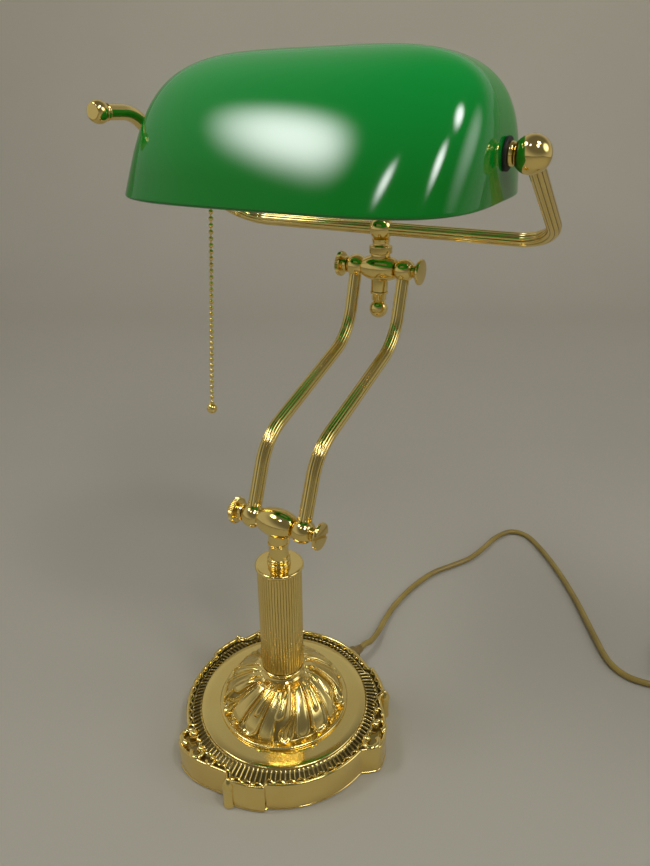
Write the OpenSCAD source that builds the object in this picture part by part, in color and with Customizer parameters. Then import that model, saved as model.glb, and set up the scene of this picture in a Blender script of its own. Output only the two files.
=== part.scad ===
// Bankers lamp: weighted ornamental base, reeded column, a pair of swinging arms,
// a swivelling yoke and a tilting glass shade with a pull-chain lampholder.
// Millimetres. The origin is the middle of the foot, +Z is up, +Y is to the back,
// and the pivots of the arms and of the shade lie along X.

/* [Base] */
// Radius of the plain rim
rim_r = 78; // [74:0.5:90]
// Height of the rim
rim_h = 24; // [22:0.5:32]
// Wall of the rim
rim_wall = 4; // [3:0.25:5]
// Thickness of the top plate of the casting
plate_t = 3.5; // [2.5:0.25:5]
// How far the felt stands below the casting
foot_gap = 0.5; // [0.3:0.1:1]
// Radius of the flat polished ring
ring_r = 65.5; // [62:0.5:68]
// Height of the flat ring above the ribbed band
ring_h = 3.5; // [2.5:0.25:5]
// Width of the raised lip round the edge
lip_w = 3; // [2:0.25:4]
// Height of the raised lip
lip_h = 2.2; // [1.5:0.1:3]
// Number of radial ribs in the band
rib_count = 84; // [60:6:108]
// Height of the ribs
rib_h = 1.6; // [1:0.1:2.4]
// How far the scroll lobes stand out of the rim
lobe_out = 10; // [6:0.5:12]
// How far the small pillars stand out of the rim
pillar_out = 8.5; // [5:0.5:10]
// How far the bump beside each pillar stands out
bump_out = 4.5; // [3:0.5:6]
// Direction of the first scroll lobe, from +X
ornament_turn = -2; // [-20:1:20]
// Radius of the volute balls on the scroll lobes
volute_r = 3.6; // [2.5:0.1:4.5]
// Thickness of the felt
felt_t = 2; // [1.5:0.25:3]
// Radius of the iron weight
weight_r = 66; // [55:0.5:68]

/* [Dome] */
// Radius of the foot moulding of the dome
dome_r = 51; // [48:0.5:56]
// Width of the foot moulding
dome_foot_w = 4.5; // [3.5:0.25:6]
// Height of the foot moulding
dome_foot_h = 3.2; // [2.5:0.1:4.5]
// Radius at the top of the dome
dome_top_r = 17; // [16.5:0.25:20]
// Height of the dome
dome_h = 36; // [30:0.5:44]
// Wall of the dome
dome_wall = 3; // [2:0.25:4]
// Number of gadroons round the dome
gadroons = 18; // [12:2:24]
// Depth of the gadroons
gadroon_depth = 2.4; // [1:0.1:3]
// How far the gadroons swirl from foot to top
gadroon_swirl = 26; // [0:1:45]

/* [Column] */
// Outer radius of the reeded column
column_r = 16.3; // [15:0.1:18]
// Inner radius of the column
column_bore_r = 13.5; // [12:0.1:14]
// Length of the column
column_h = 90; // [60:1:140]
// Number of reeds on the column
column_reeds = 48; // [36:4:60]
// Depth of the grooves between the reeds of the column
column_groove = 0.5; // [0.2:0.05:0.8]
// Height of the bead ring under the column
foot_ring_h = 3.5; // [2.5:0.25:5]
// Radius of the bead ring under the column
foot_ring_r = 17.6; // [17:0.1:20]
// Radius of the disc on top of the column
cap_r = 17.7; // [17:0.1:20]
// Thickness of the disc on top of the column
cap_t = 3; // [2:0.25:5]
// Radius of the turned neck
neck_r = 7.1; // [6.5:0.1:9]
// Height of the turned neck
neck_h = 18.5; // [14:0.5:30]
// Radius of the rings at the foot of the neck
neck_ring_r = 8.4; // [7.6:0.1:10]
// Radius of the threaded rod that holds the stand together
rod_r = 5; // [4:0.25:6]
// Thickness of the nut on the rod
rod_nut_t = 5; // [4:0.5:6]
// Thickness of the washer under the nut
rod_washer_t = 1.5; // [1:0.25:2.5]

/* [Joints] */
// Half distance between the two arms
arm_gap = 20.6; // [19.5:0.1:26]
// Radius of the balls on the ends of the arms
ball_r = 8.8; // [8:0.1:10]
// Distance of the flats on the balls from the middle of the ball
ball_flat = 7.2; // [7:0.1:8.4]
// Largest radius of the pivot bodies
body_r = 10.6; // [9.5:0.1:12]
// Radius of the ends of the pivot bodies
body_end_r = 7.4; // [5.5:0.1:8]
// Height of the stub under a pivot body, from its middle
stub_h = 15.5; // [13.5:0.5:20]
// Radius of the shanks of the pivot screws
screw_r = 3; // [2.5:0.1:3.5]
// Distance of the tips of the pivot screws from the middle of the body
screw_tip = 6.5; // [6:0.1:8]
// Radius of the screw heads and thumb screws
head_r = 9.8; // [8.5:0.1:12]
// Thickness of the discs of the screw heads
head_t = 2.6; // [2:0.1:4]
// Length of the flared neck under a screw head
head_neck = 4.6; // [3.5:0.1:6]
// Number of notches round the thumb screws
knurls = 40; // [24:4:60]

/* [Arms] */
// Radius of the reeded tubes
tube_r = 5; // [4.5:0.1:6]
// Inner radius of the reeded tubes
tube_bore_r = 3.8; // [3.2:0.1:4]
// Number of reeds round a tube
tube_reeds = 10; // [8:2:14]
// Depth of the grooves between the reeds of a tube
tube_groove = 0.45; // [0.2:0.05:0.7]
// Length of the lower and upper legs of an arm, up to the bend
arm_leg = 56; // [48:0.5:80]
// Length of the long middle stretch of an arm
arm_diag = 129.5; // [90:0.5:180]
// Lean of the lower leg to the back
arm_lean = 21.5; // [0:0.5:40]
// Turn of the lower bend
lower_bend = 50; // [30:0.5:60]
// Turn of the upper bend
upper_bend = 57; // [30:0.5:60]
// Radius of the bends of the arms, at the middle of the tube
arm_bend_r = 40; // [18:0.5:45]

/* [Head] */
// Radius of the swivel stem
stem_r = 4; // [3.5:0.1:4.5]
// Radius of the finial ball
finial_r = 7.4; // [6:0.1:9]
// Distance of the finial ball below the upper pivot
finial_drop = 32.5; // [30:0.5:40]
// Radius of the swivel collar
collar_r = 9; // [8:0.1:11]
// Height of the swivel collar
collar_h = 6.2; // [5:0.1:8]
// Radius of the ball in the middle of the yoke
yoke_ball_r = 9.4; // [8.5:0.1:11]
// Height of the yoke above the upper pivot
yoke_rise = 30; // [28:0.5:40]

/* [Yoke] */
// Half width of the yoke, to the middle of its tubes
yoke_half = 128.5; // [124:0.5:150]
// Length of the sides of the yoke, to the shade's pivot
yoke_arm = 112.5; // [90:0.5:150]
// Lean of the yoke to the front
yoke_lean = 58; // [0:1:75]
// Radius of the corners of the yoke
yoke_bend_r = 28; // [12:0.5:35]
// How far the sides of the yoke splay outwards on their way down to the bar
yoke_splay = 2; // [0:0.5:4]
// Radius of the pivot balls
pivot_ball_r = 10.4; // [9.5:0.1:12]
// Radius of the handle rod
handle_r = 4.8; // [3.5:0.1:5]
// Rise of the handle out of the pivot ball
handle_rise_angle = 42; // [30:1:55]
// Radius of the bend of the handle
handle_bend_r = 27; // [20:0.5:35]
// Length of the straight foot of the handle, from the middle of the ball
handle_foot = 20; // [16:0.5:30]
// Length of the level end of the handle
handle_end = 19; // [12:0.5:30]
// Radius of the knob on the handle
knob_r = 7.5; // [6.5:0.1:10]

/* [Shade] */
// Half depth of the glass shade
shade_half_d = 84; // [70:0.5:92]
// Height of the glass shade
shade_h = 79.5; // [70:0.5:90]
// Thickness of the glass
glass_t = 3; // [2:0.25:4]
// Height of the pivot above the rim of the shade
pivot_up = 25.2; // [22:0.1:30]
// Tilt of the shade to the front
shade_tilt = 1; // [0:0.5:15]
// Radius of the spindles of the shade
spindle_r = 4; // [3:0.1:4.5]
// Radius of the rubber washers
washer_r = 9; // [8:0.1:11]
// Thickness of the rubber washers
washer_t = 2; // [1.5:0.1:2.4]
// Radius of the brass spacer rings
spacer_r = 6.6; // [6.5:0.1:9]
// Thickness of the brass spacer rings
spacer_t = 2.8; // [2:0.1:6]
// Thickness of the lock nuts inside the shade
lock_nut_t = 3.5; // [2.5:0.25:5]

/* [Lampholder] */
// Radius of the lampholder
holder_r = 18; // [16:0.5:20]
// Length of the lampholder's socket
socket_l = 34; // [28:1:42]
// Length of the lampholder's cap
holder_cap_l = 18; // [14:1:24]
// Radius of the screw base of the bulb
bulb_base_r = 13; // [12.5:0.1:13.3]
// Radius of the tubular bulb
bulb_r = 15; // [13:0.5:17]
// Length of the glass of the bulb
bulb_l = 92; // [70:1:105]
// How far the switch outlet stands out in front of the lampholder's axis
outlet_out = 31; // [27:0.5:36]

/* [Chain] */
// Radius of the beads of the chain
bead_r = 1.6; // [1.2:0.1:2]
// Distance between the beads
bead_pitch = 4.25; // [3.8:0.05:5]
// Number of beads
bead_count = 39; // [20:1:50]
// Radius of the wire between the beads
bead_wire_r = 0.6; // [0.4:0.1:0.8]
// Radius of the ball on the end of the chain
pull_ball_r = 4; // [3:0.1:6]
// Lean of the chain, as it hangs in the photograph
chain_lean = 5; // [0:0.5:6]

/* [Cord] */
// Diameter of the mains cord
cord_d = 5.5; // [5:0.1:5.6]
// Radius of the outer turn of the coil
coil_r = 40; // [40:0.5:42]
// Distance between neighbouring turns of the coil
coil_pitch = 6; // [6:0.1:6.5]
// Thickness of the tie round the coil
tie_t = 0.8; // [0.6:0.1:1.2]
// Half thickness of the plug
plug_half_t = 7.5; // [6.5:0.25:9]
// Length of the plug's body
plug_l = 36; // [30:1:45]

/* [Fits] */
// Radial clearance of a running fit
run_fit = 0.05; // [0.03:0.01:0.08]
// Radial clearance between pieces that are screwed or pushed together
seat_fit = 0.02; // [0.01:0.01:0.05]
// Gap between faces that turn against each other
face_gap = 0.2; // [0.15:0.05:0.3]

/* [Hidden] */
$fn = 64;

brass = "goldenrod";
steel = "silver";
iron = "dimgray";
rubber = "black";
green_glass = "seagreen";
cord_gold = "darkgoldenrod";

// Small overlap that makes joined solids one
weld = 0.01;
// Length by which a cutting tool stands proud of what it cuts
proud = 1;

// Levels of the stand, from the floor up
ring_z = rim_h + ring_h;
dome_z = ring_z + dome_h;
column_z = dome_z + foot_ring_h;
cap_z = column_z + column_h;
neck_z = cap_z + cap_t;
stub_z = neck_z + neck_h;
lower_z = stub_z + stub_h;
rod_top = neck_z + 0.45 * neck_h;
weight_top = rim_h - plate_t;

// Upper pivot, from the stretches of the arm
diag_lean = arm_lean + lower_bend;
upper_lean = diag_lean - upper_bend;
upper_y = arm_leg * sin(arm_lean) + arm_diag * sin(diag_lean) + arm_leg * sin(upper_lean);
upper_z = lower_z + arm_leg * cos(arm_lean) + arm_diag * cos(diag_lean) + arm_leg * cos(upper_lean);
yoke_z = upper_z + yoke_rise;

// Half length of a pivot body between the two balls
body_half = arm_gap - ball_flat - face_gap;
// Where the tubes start inside the balls
tube_seat = 5;

// Pivot of the shade
pivot_y = upper_y - yoke_arm * sin(yoke_lean);
pivot_z = yoke_z + yoke_arm * cos(yoke_lean);

// Flat of a pivot ball towards the shade, from the middle of the ball
pivot_flat = pivot_ball_r - 1.4;
// Levels along the pivot of the shade: the glass fits between the pivot balls with its washers and spacer rings
glass_x = yoke_half - pivot_flat - face_gap - spacer_t - washer_t;
spacer_x = glass_x + washer_t;
inner_washer_x = glass_x - glass_t - washer_t;
lock_nut_x = inner_washer_x - lock_nut_t;

// Angles of the ornament within one third of the base, from the middle of the lobe
lobe_short_side = 15;
lobe_long_side = 34;
pillar_at = 34;
pillar_half = 4.5;
bump_end = 54;
outline_step = 2;

// Distance from the axis to the edge of the base in a direction
function third(a) = (a - ornament_turn + 780) % 120 - 60;
function lobe_part(w) =
    w > -lobe_short_side && w <= 0 ? lobe_out * pow(cos(90 * w / lobe_short_side), 2)
    : w > 0 && w < lobe_long_side ? lobe_out * pow(cos(90 * w / lobe_long_side), 2)
    : 0;
function pillar_part(w) =
    abs(w - pillar_at) < pillar_half ? pillar_out * sqrt(1 - pow((w - pillar_at) / pillar_half, 2)) : 0;
function bump_part(w) =
    w > pillar_at && w < bump_end ? bump_out * (1 - 0.35 * (w - pillar_at) / (bump_end - pillar_at)) : 0;
function edge_r(a) = let (w = third(a)) rim_r + max(lobe_part(w), pillar_part(w), bump_part(w));
function base_outline(inset) =
    [for (a = [0 : outline_step : 360 - outline_step]) (edge_r(a) - inset) * [cos(a), sin(a)]];

// Radial ribs as one toothed outline
rib_share = 0.55;
rib_root = ring_r - proud;
rib_tip = rim_r - lip_w - 0.5;
function rib_outline() =
    let (step = 360 / rib_count)
    [for (i = [0 : rib_count - 1], c = [[rib_root, 0], [rib_tip, 0], [rib_tip, rib_share], [rib_root, rib_share]])
        c[0] * [cos((i + c[1]) * step), sin((i + c[1]) * step)]];

// Profile of the dome from its foot to its top
dome_body_r = dome_r - dome_foot_w;
dome_body_h = dome_h - dome_foot_h / 2;
dome_rings = 12;
dome_sides = 4 * gadroons;
function dome_profile(t) = dome_top_r + (dome_body_r - dome_top_r) * pow(0.5 + 0.5 * cos(180 * t), 0.8);
function gadroon(t, a) =
    gadroon_depth * pow(max(sin(180 * t), 0), 0.7) * (abs(cos(gadroons / 2 * (a + gadroon_swirl * t))) - 0.6);
function dome_ring(t) =
    [for (i = [0 : dome_sides - 1]) let (a = 360 * i / dome_sides, r = dome_profile(t) + gadroon(t, a))
        [r * cos(a), r * sin(a), dome_z - dome_body_h * (1 - t)]];

// Outline of a reeded bar: flat reeds with a narrow groove between them
reed_land = 0.43;
function reeded(r, count, groove) =
    let (step = 360 / count)
    [for (i = [0 : count - 1], c = [[-0.5, r - groove], [-reed_land, r], [0, r], [reed_land, r]])
        c[1] * [cos((i + c[0]) * step), sin((i + c[0]) * step)]];

// Glass shade: rounded in plan, boxy along its length and arched across its depth
shade_corner = 4.05;
shade_end_round = 4.1;
shade_arch = 1.75;
shade_sides = 48;
shade_levels = [0, 0.14, 0.28, 0.42, 0.55, 0.67, 0.77, 0.85, 0.91, 0.955, 0.983, 0.997];
// Half length of the glass at its rim
shade_half_l = glass_x / shrink(pivot_up / shade_h, shade_end_round);
function soft_sign(v, n) = sign(v) * pow(abs(v), 2 / n);
function shrink(t, n) = pow(1 - pow(t, n), 1 / n);
function shade_ring(t, inset) =
    [for (i = [0 : shade_sides - 1]) let (a = 360 * (i + 0.5) / shade_sides)
        [(shade_half_l - inset) * shrink(t, shade_end_round) * soft_sign(cos(a), shade_corner),
         (shade_half_d - inset) * pow(1 - t, 1 / shade_arch) * soft_sign(sin(a), shade_corner),
         (shade_h - inset) * t - pivot_up]];

// Route of the visible cord on the floor, from the gland to the coil
gland_turn = 76;
gland_z = 11;
gland_l = 18;
cord_r = cord_d / 2;
coil_x = 308;
coil_y = 230;
route = [
    [27, 108, 9], [26, 126, 5], [24, 148, 3], [24, 172, 2.75], [29, 206, 2.75], [39, 238, 2.75],
    [53, 261, 2.75], [66, 283, 2.75], [74, 310, 2.75], [80, 336, 2.75], [92, 357, 2.75],
    [111, 358, 2.75], [133, 338, 2.75], [159, 305, 2.75], [184, 266, 2.75], [206, 226, 2.75],
    [223, 197, 2.75], [239, 185, 2.75], [256, 184, 2.75], [274, 188, 3], [290, 190, 3.4]
];
route_steps = 2;

// Coil: in over the lower layer, up a layer in the half turn where it reverses, and out again
coil_in = 3;
coil_out = 3.25;
coil_steps = 24;
coil_sides = 6;
layer_rise = cord_d + 0.5;
coil_z = cord_r + tie_t;
coil_start = -90;
function coil_at(n) =
    let (r = coil_r - coil_pitch * (n < coil_in ? n : 2 * coil_in - n),
         climb = min(max((n - coil_in + 0.25) / 0.5, 0), 1),
         a = coil_start + 360 * n)
    [coil_x + r * cos(a), coil_y + r * sin(a), coil_z + layer_rise * climb];
coil_turns = coil_in + coil_out;
coil_path = [for (k = [0 : coil_turns * coil_steps]) coil_at(k / coil_steps)];
coil_first = coil_path[0] - [cord_d, 0, 0];
coil_last = coil_path[len(coil_path) - 1] + [0, cord_d, 0];
lead_l = 34;
plug_y = coil_last[1] + lead_l;
lead_path = [
    coil_last, coil_last + [0, 8, 0], [coil_last[0], plug_y - 17, (coil_last[2] + plug_half_t) / 2],
    [coil_last[0], plug_y - 8, plug_half_t], [coil_last[0], plug_y, plug_half_t]
];

// Smooth curve through points, and its ends held to the points themselves
function spline(p, i, t) =
    let (n = len(p) - 1, a = p[max(i - 1, 0)], b = p[i], c = p[min(i + 1, n)], d = p[min(i + 2, n)])
    0.5 * (2 * b + (c - a) * t + (2 * a - 5 * b + 4 * c - d) * t * t + (3 * b - a - 3 * c + d) * t * t * t);
function smooth(p, steps) =
    concat([for (i = [0 : len(p) - 2], k = [0 : steps - 1]) spline(p, i, k / steps)], [p[len(p) - 1]]);
function unit(v) = v / norm(v);
// Ring of a tube round a point of its path
function tube_ring(p, i, r, sides) =
    let (t = unit(p[min(i + 1, len(p) - 1)] - p[max(i - 1, 0)]),
         s = unit(cross([0, 0, 1], t)),
         u = cross(t, s))
    [for (k = [0 : sides - 1]) let (a = 360 * (k + 0.5) / sides) p[i] + r * (cos(a) * s + sin(a) * u)];
function tube_rings(p, r, sides) = [for (i = [0 : len(p) - 1]) tube_ring(p, i, r, sides)];

gland_dir = [cos(gland_turn), sin(gland_turn), 0];
gland_end = (rim_r + gland_l) * gland_dir + [0, 0, gland_z];
cord_path = smooth(concat([gland_end, gland_end + 7 * gland_dir], route, [coil_first]), route_steps);
coil_full = concat([coil_first], coil_path, [coil_last]);
function path_length(p) = [for (i = [0 : len(p) - 2]) norm(p[i + 1] - p[i])] * [for (i = [0 : len(p) - 2]) 1];
// Least distance between two turns of the coil, on points at least half a turn apart
coil_least = min([for (i = [0 : len(coil_path) - 1], j = [i + coil_steps / 2 : 1 : len(coil_path) - 1])
    norm(coil_path[i] - coil_path[j])]);
echo(cord_length = path_length(cord_path) + path_length(coil_full) + path_length(lead_path));
echo(least_gap_of_coil = coil_least - cord_d);

// Solid through a row of rings with the same number of points
module loft(rings) {
    n = len(rings[0]);
    m = len(rings);
    last = (m - 1) * n;
    polyhedron(
        points = [for (r = rings) each r],
        faces = concat(
            [for (i = [1 : n - 2]) [0, i, i + 1]],
            [for (k = [0 : m - 2], i = [0 : n - 1]) let (j = (i + 1) % n)
                each [[k * n + i, (k + 1) * n + i, (k + 1) * n + j], [k * n + i, (k + 1) * n + j, k * n + j]]],
            [for (i = [1 : n - 2]) [last, last + i + 1, last + i]]));
}

// Places
module at_lower() { translate([0, 0, lower_z]) children(); }
module at_upper() { translate([0, upper_y, upper_z]) children(); }
module at_yoke() { translate([0, upper_y, yoke_z]) rotate([yoke_lean, 0, 0]) children(); }
module at_shade() { translate([0, pivot_y, pivot_z]) rotate([shade_tilt, 0, 0]) children(); }
module at_gland() { translate([0, 0, gland_z]) rotate([0, 0, gland_turn]) rotate([0, 90, 0]) children(); }
// Turns a shape that stands on Z so that it points along +X or -X
module to_right() { rotate([0, 90, 0]) children(); }
module to_left() { rotate([0, -90, 0]) children(); }

// Reeded tube wall
module tube_section() {
    difference() {
        polygon(reeded(tube_r, tube_reeds, tube_groove));
        circle(tube_bore_r);
    }
}
// Straight stretch, a hair short at both ends, so that only the hidden ring joins it to a bend
module tube_straight(length) { translate([0, 0, weld]) linear_extrude(length - 2 * weld) tube_section(); }
// Ring inside the wall where two stretches of tube meet
tube_join_t = 0.3;
tube_join_l = 1;
module tube_join() {
    middle = (tube_bore_r + tube_r - tube_groove) / 2;
    translate([0, 0, -tube_join_l / 2]) linear_extrude(tube_join_l) difference() {
        circle(middle + tube_join_t / 2);
        circle(middle - tube_join_t / 2);
    }
}
// Bend that starts upwards at the origin and turns towards +Y
module tube_bend(r, turn) {
    translate([0, r, 0]) rotate([90, 0, -90]) rotate_extrude(angle = turn) translate([r, 0]) rotate(-90) tube_section();
}
module after_bend(r, turn) { translate([0, r * (1 - cos(turn)), r * sin(turn)]) rotate([-turn, 0, 0]) children(); }

// Base
module volute() {
    translate([0, 0, rim_h]) {
        sphere(volute_r);
    }
}
module base_casting() {
    color(brass) difference() {
        union() {
            translate([0, 0, foot_gap]) linear_extrude(rim_h - foot_gap) polygon(base_outline(0));
            translate([0, 0, rim_h - weld]) linear_extrude(lip_h) difference() {
                polygon(base_outline(0));
                polygon(base_outline(lip_w));
            }
            translate([0, 0, rim_h - weld]) linear_extrude(rib_h) polygon(rib_outline());
            translate([0, 0, rim_h - plate_t]) cylinder(r = ring_r, h = plate_t + ring_h);
            for (k = [0 : 2], w = [-8, 13])
                rotate([0, 0, ornament_turn + 120 * k + w]) translate([rim_r - lip_w, 0, 0]) volute();
        }
        translate([0, 0, -proud]) cylinder(r = rim_r - rim_wall, h = weight_top + proud);
        cylinder(r = dome_r - 2 * dome_foot_w, h = ring_z + proud);
        at_gland() cylinder(r = gland_neck_r + seat_fit, h = 2 * rim_r);
    }
}
module base_dome() {
    color(brass) difference() {
        union() {
            loft([for (k = [0 : dome_rings]) dome_ring(k / dome_rings)]);
            translate([0, 0, ring_z]) rotate_extrude() {
                translate([dome_r - 2 * dome_foot_w, 0]) square([2 * dome_foot_w - dome_foot_h / 2, dome_foot_h]);
                translate([dome_r - dome_foot_h / 2, dome_foot_h / 2]) circle(dome_foot_h / 2);
            }
        }
        rotate_extrude() polygon(concat(
            [[0, ring_z - proud], [dome_r - 2 * dome_foot_w - proud, ring_z - proud]],
            [for (k = [0 : dome_rings]) let (t = k / dome_rings)
                [dome_profile(t) - dome_wall - 0.6 * gadroon_depth, dome_z - dome_wall - dome_body_h * (1 - t)]],
            [[0, dome_z - dome_wall]]));
        cylinder(r = rod_r + seat_fit, h = dome_z + proud);
    }
}
module base_weight() {
    color(iron) difference() {
        translate([0, 0, felt_t]) cylinder(r = weight_r, h = weight_top - felt_t);
        translate([0, 0, felt_t - proud]) cylinder(r = 3.4 * rod_r, h = rod_nut_t + rod_washer_t + 2 + proud);
        cylinder(r = rod_r + seat_fit, h = rim_h);
    }
}
module base_felt() { color("darkgreen") cylinder(r = rim_r - rim_wall - face_gap, h = felt_t); }

// Rod that clamps base, column and neck
rod_foot = felt_t + 0.5;
nut_z = felt_t + 2;
module tie_rod() { color(steel) translate([0, 0, rod_foot]) cylinder(r = rod_r, h = rod_top - rod_foot); }
module tie_rod_nut() {
    color(steel) translate([0, 0, nut_z]) difference() {
        cylinder(r = 1.9 * rod_r, h = rod_nut_t, $fn = 6);
        translate([0, 0, -proud]) cylinder(r = rod_r + seat_fit, h = rod_nut_t + 2 * proud);
    }
}
module tie_rod_washer() {
    color(steel) translate([0, 0, nut_z + rod_nut_t]) difference() {
        cylinder(r = 2.6 * rod_r, h = rod_washer_t);
        translate([0, 0, -proud]) cylinder(r = rod_r + seat_fit, h = rod_washer_t + 2 * proud);
    }
}

// Column
module column_foot_ring() {
    color(brass) translate([0, 0, dome_z]) rotate_extrude() difference() {
        union() {
            square([foot_ring_r - foot_ring_h / 2, foot_ring_h]);
            translate([foot_ring_r - foot_ring_h / 2, foot_ring_h / 2]) circle(foot_ring_h / 2);
        }
        translate([-proud, -proud]) square([rod_r + seat_fit + proud, foot_ring_h + 2 * proud]);
    }
}
module column() {
    color(brass) translate([0, 0, column_z]) linear_extrude(column_h) difference() {
        polygon(reeded(column_r, column_reeds, column_groove));
        circle(column_bore_r);
    }
}
module column_cap() {
    spigot = 5;
    edge = cap_t / 2;
    color(brass) difference() {
        translate([0, 0, cap_z]) rotate_extrude() {
            square([cap_r - edge, cap_t]);
            intersection() {
                translate([cap_r - edge, edge]) circle(edge);
                square([cap_r, cap_t]);
            }
            translate([0, -spigot]) square([column_bore_r - seat_fit, spigot + weld]);
        }
        translate([0, 0, cap_z - spigot - proud]) cylinder(r = rod_r + seat_fit, h = spigot + cap_t + 2 * proud);
    }
}
neck_stud_r = 4;
neck_stud_h = 6;
module neck() {
    ring_t = 2;
    bead_t = 1.2;
    color(brass) translate([0, 0, neck_z]) difference() {
        union() {
            cylinder(r = neck_r, h = neck_h - weld);
            for (k = [0 : 2]) translate([0, 0, k * ring_t]) cylinder(r = neck_ring_r - 0.7 * (k % 2), h = ring_t);
            translate([0, 0, neck_h - bead_t]) cylinder(r = neck_r + 0.5, h = bead_t);
            cylinder(r = neck_stud_r, h = neck_h + neck_stud_h);
        }
        translate([0, 0, -proud]) cylinder(r = rod_r + seat_fit, h = rod_top - neck_z + proud);
    }
}

// Pivots
// Barrel-shaped body along X, with flat ends towards the balls
module barrel() {
    rise = body_r - body_end_r;
    arc_r = (body_half * body_half + rise * rise) / (2 * rise);
    to_right() rotate_extrude() intersection() {
        translate([body_r - arc_r, 0]) circle(arc_r, $fn = 96);
        translate([0, -body_half]) square([body_r, 2 * body_half]);
    }
}
module screw_holes() {
    for (side = [-1, 1]) translate([side * screw_tip, 0, 0]) to_right()
        translate([0, 0, side > 0 ? -0.3 : -body_half]) cylinder(r = screw_r + run_fit, h = body_half + 0.3);
}
module lower_pivot_body() {
    color(brass) at_lower() difference() {
        union() {
            barrel();
            translate([0, 0, -stub_h]) cylinder(r = neck_r, h = stub_h);
        }
        screw_holes();
        translate([0, 0, -stub_h - proud]) cylinder(r = neck_stud_r + seat_fit, h = neck_stud_h + proud + seat_fit);
    }
}
finial_ring_t = 1.5;
upper_stub = finial_drop - finial_r - 7;
module upper_pivot_body() {
    color(brass) at_upper() difference() {
        union() {
            barrel();
            translate([0, 0, -upper_stub]) cylinder(r = neck_r - 0.4, h = upper_stub);
            cylinder(r = collar_r - 1.5, h = collar_z);
        }
        screw_holes();
        translate([0, 0, -upper_stub - proud]) cylinder(r = stem_r + run_fit, h = upper_stub + body_r + 2 * proud);
    }
}
// Ball on the end of an arm, bored for its pivot screw and for the tube
module arm_ball(lean) {
    color(brass) difference() {
        intersection() {
            sphere(ball_r);
            cube([2 * ball_flat, 2 * ball_r, 2 * ball_r], center = true);
        }
        translate([-ball_r, 0, 0]) to_right() cylinder(r = screw_r + run_fit, h = 2 * ball_r);
        rotate([-lean, 0, 0]) translate([0, 0, tube_seat]) cylinder(r = tube_r + seat_fit, h = ball_r);
    }
}
// Screw along +X through a ball into the pivot body
screw_face = arm_gap + ball_flat + face_gap;
module screw_shank() { translate([0, 0, screw_tip]) cylinder(r = screw_r, h = screw_face + weld - screw_tip); }
module pivot_screw(slotted) {
    slot_w = 1.8;
    color(brass) to_right() difference() {
        union() {
            screw_shank();
            translate([0, 0, screw_face]) cylinder(r1 = 0.5 * head_r, r2 = 0.94 * head_r, h = head_neck);
            translate([0, 0, screw_face + head_neck - weld]) cylinder(r = head_r, h = head_t);
        }
        if (slotted) rotate([0, 0, 60]) translate([-slot_w / 2, -1.3 * head_r, screw_face + head_neck + head_t / 2])
            cube([slot_w, 2.6 * head_r, head_t]);
    }
}
module thumb_screw(nub) {
    notch = 0.6;
    nub_h = 2.8;
    color(brass) to_left() {
        screw_shank();
        translate([0, 0, screw_face]) cylinder(r1 = 0.55 * head_r, r2 = 0.72 * head_r, h = head_neck);
        translate([0, 0, screw_face + head_neck - weld]) linear_extrude(1.4 * head_t)
            polygon([for (i = [0 : 2 * knurls - 1]) (head_r - notch * (i % 2)) * [cos(180 * i / knurls), sin(180 * i / knurls)]]);
        if (nub) translate([0, 0, screw_face + head_neck + 1.4 * head_t - 2 * weld]) {
            cylinder(r = screw_r, h = nub_h);
            translate([0, 0, nub_h]) sphere(screw_r);
        }
    }
}
module lower_screw() { at_lower() pivot_screw(true); }
module upper_screw() { at_upper() pivot_screw(false); }
module lower_thumb_screw() { at_lower() thumb_screw(true); }
module upper_thumb_screw() { at_upper() thumb_screw(false); }

// Arms
module arm(side) {
    first_cut = arm_bend_r * tan(lower_bend / 2);
    second_cut = arm_bend_r * tan(upper_bend / 2);
    color(brass) translate([side * arm_gap, 0, lower_z]) rotate([-arm_lean, 0, 0]) {
        translate([0, 0, tube_seat]) tube_straight(arm_leg - first_cut - tube_seat);
        translate([0, 0, arm_leg - first_cut]) {
            tube_join();
            tube_bend(arm_bend_r, lower_bend);
            after_bend(arm_bend_r, lower_bend) {
                tube_join();
                tube_straight(arm_diag - first_cut - second_cut);
                translate([0, 0, arm_diag - first_cut - second_cut]) {
                    tube_join();
                    rotate([0, 0, 180]) tube_bend(arm_bend_r, upper_bend);
                    rotate([0, 0, 180]) after_bend(arm_bend_r, upper_bend) {
                        tube_join();
                        tube_straight(arm_leg - second_cut - tube_seat);
                    }
                }
            }
        }
    }
}
module arm_left() { arm(-1); }
module arm_right() { arm(1); }
module lower_ball_left() { translate([-arm_gap, 0, lower_z]) arm_ball(arm_lean); }
module lower_ball_right() { translate([arm_gap, 0, lower_z]) arm_ball(arm_lean); }
module upper_ball_left() { translate([-arm_gap, upper_y, upper_z]) arm_ball(180 + upper_lean); }
module upper_ball_right() { translate([arm_gap, upper_y, upper_z]) arm_ball(180 + upper_lean); }

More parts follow.
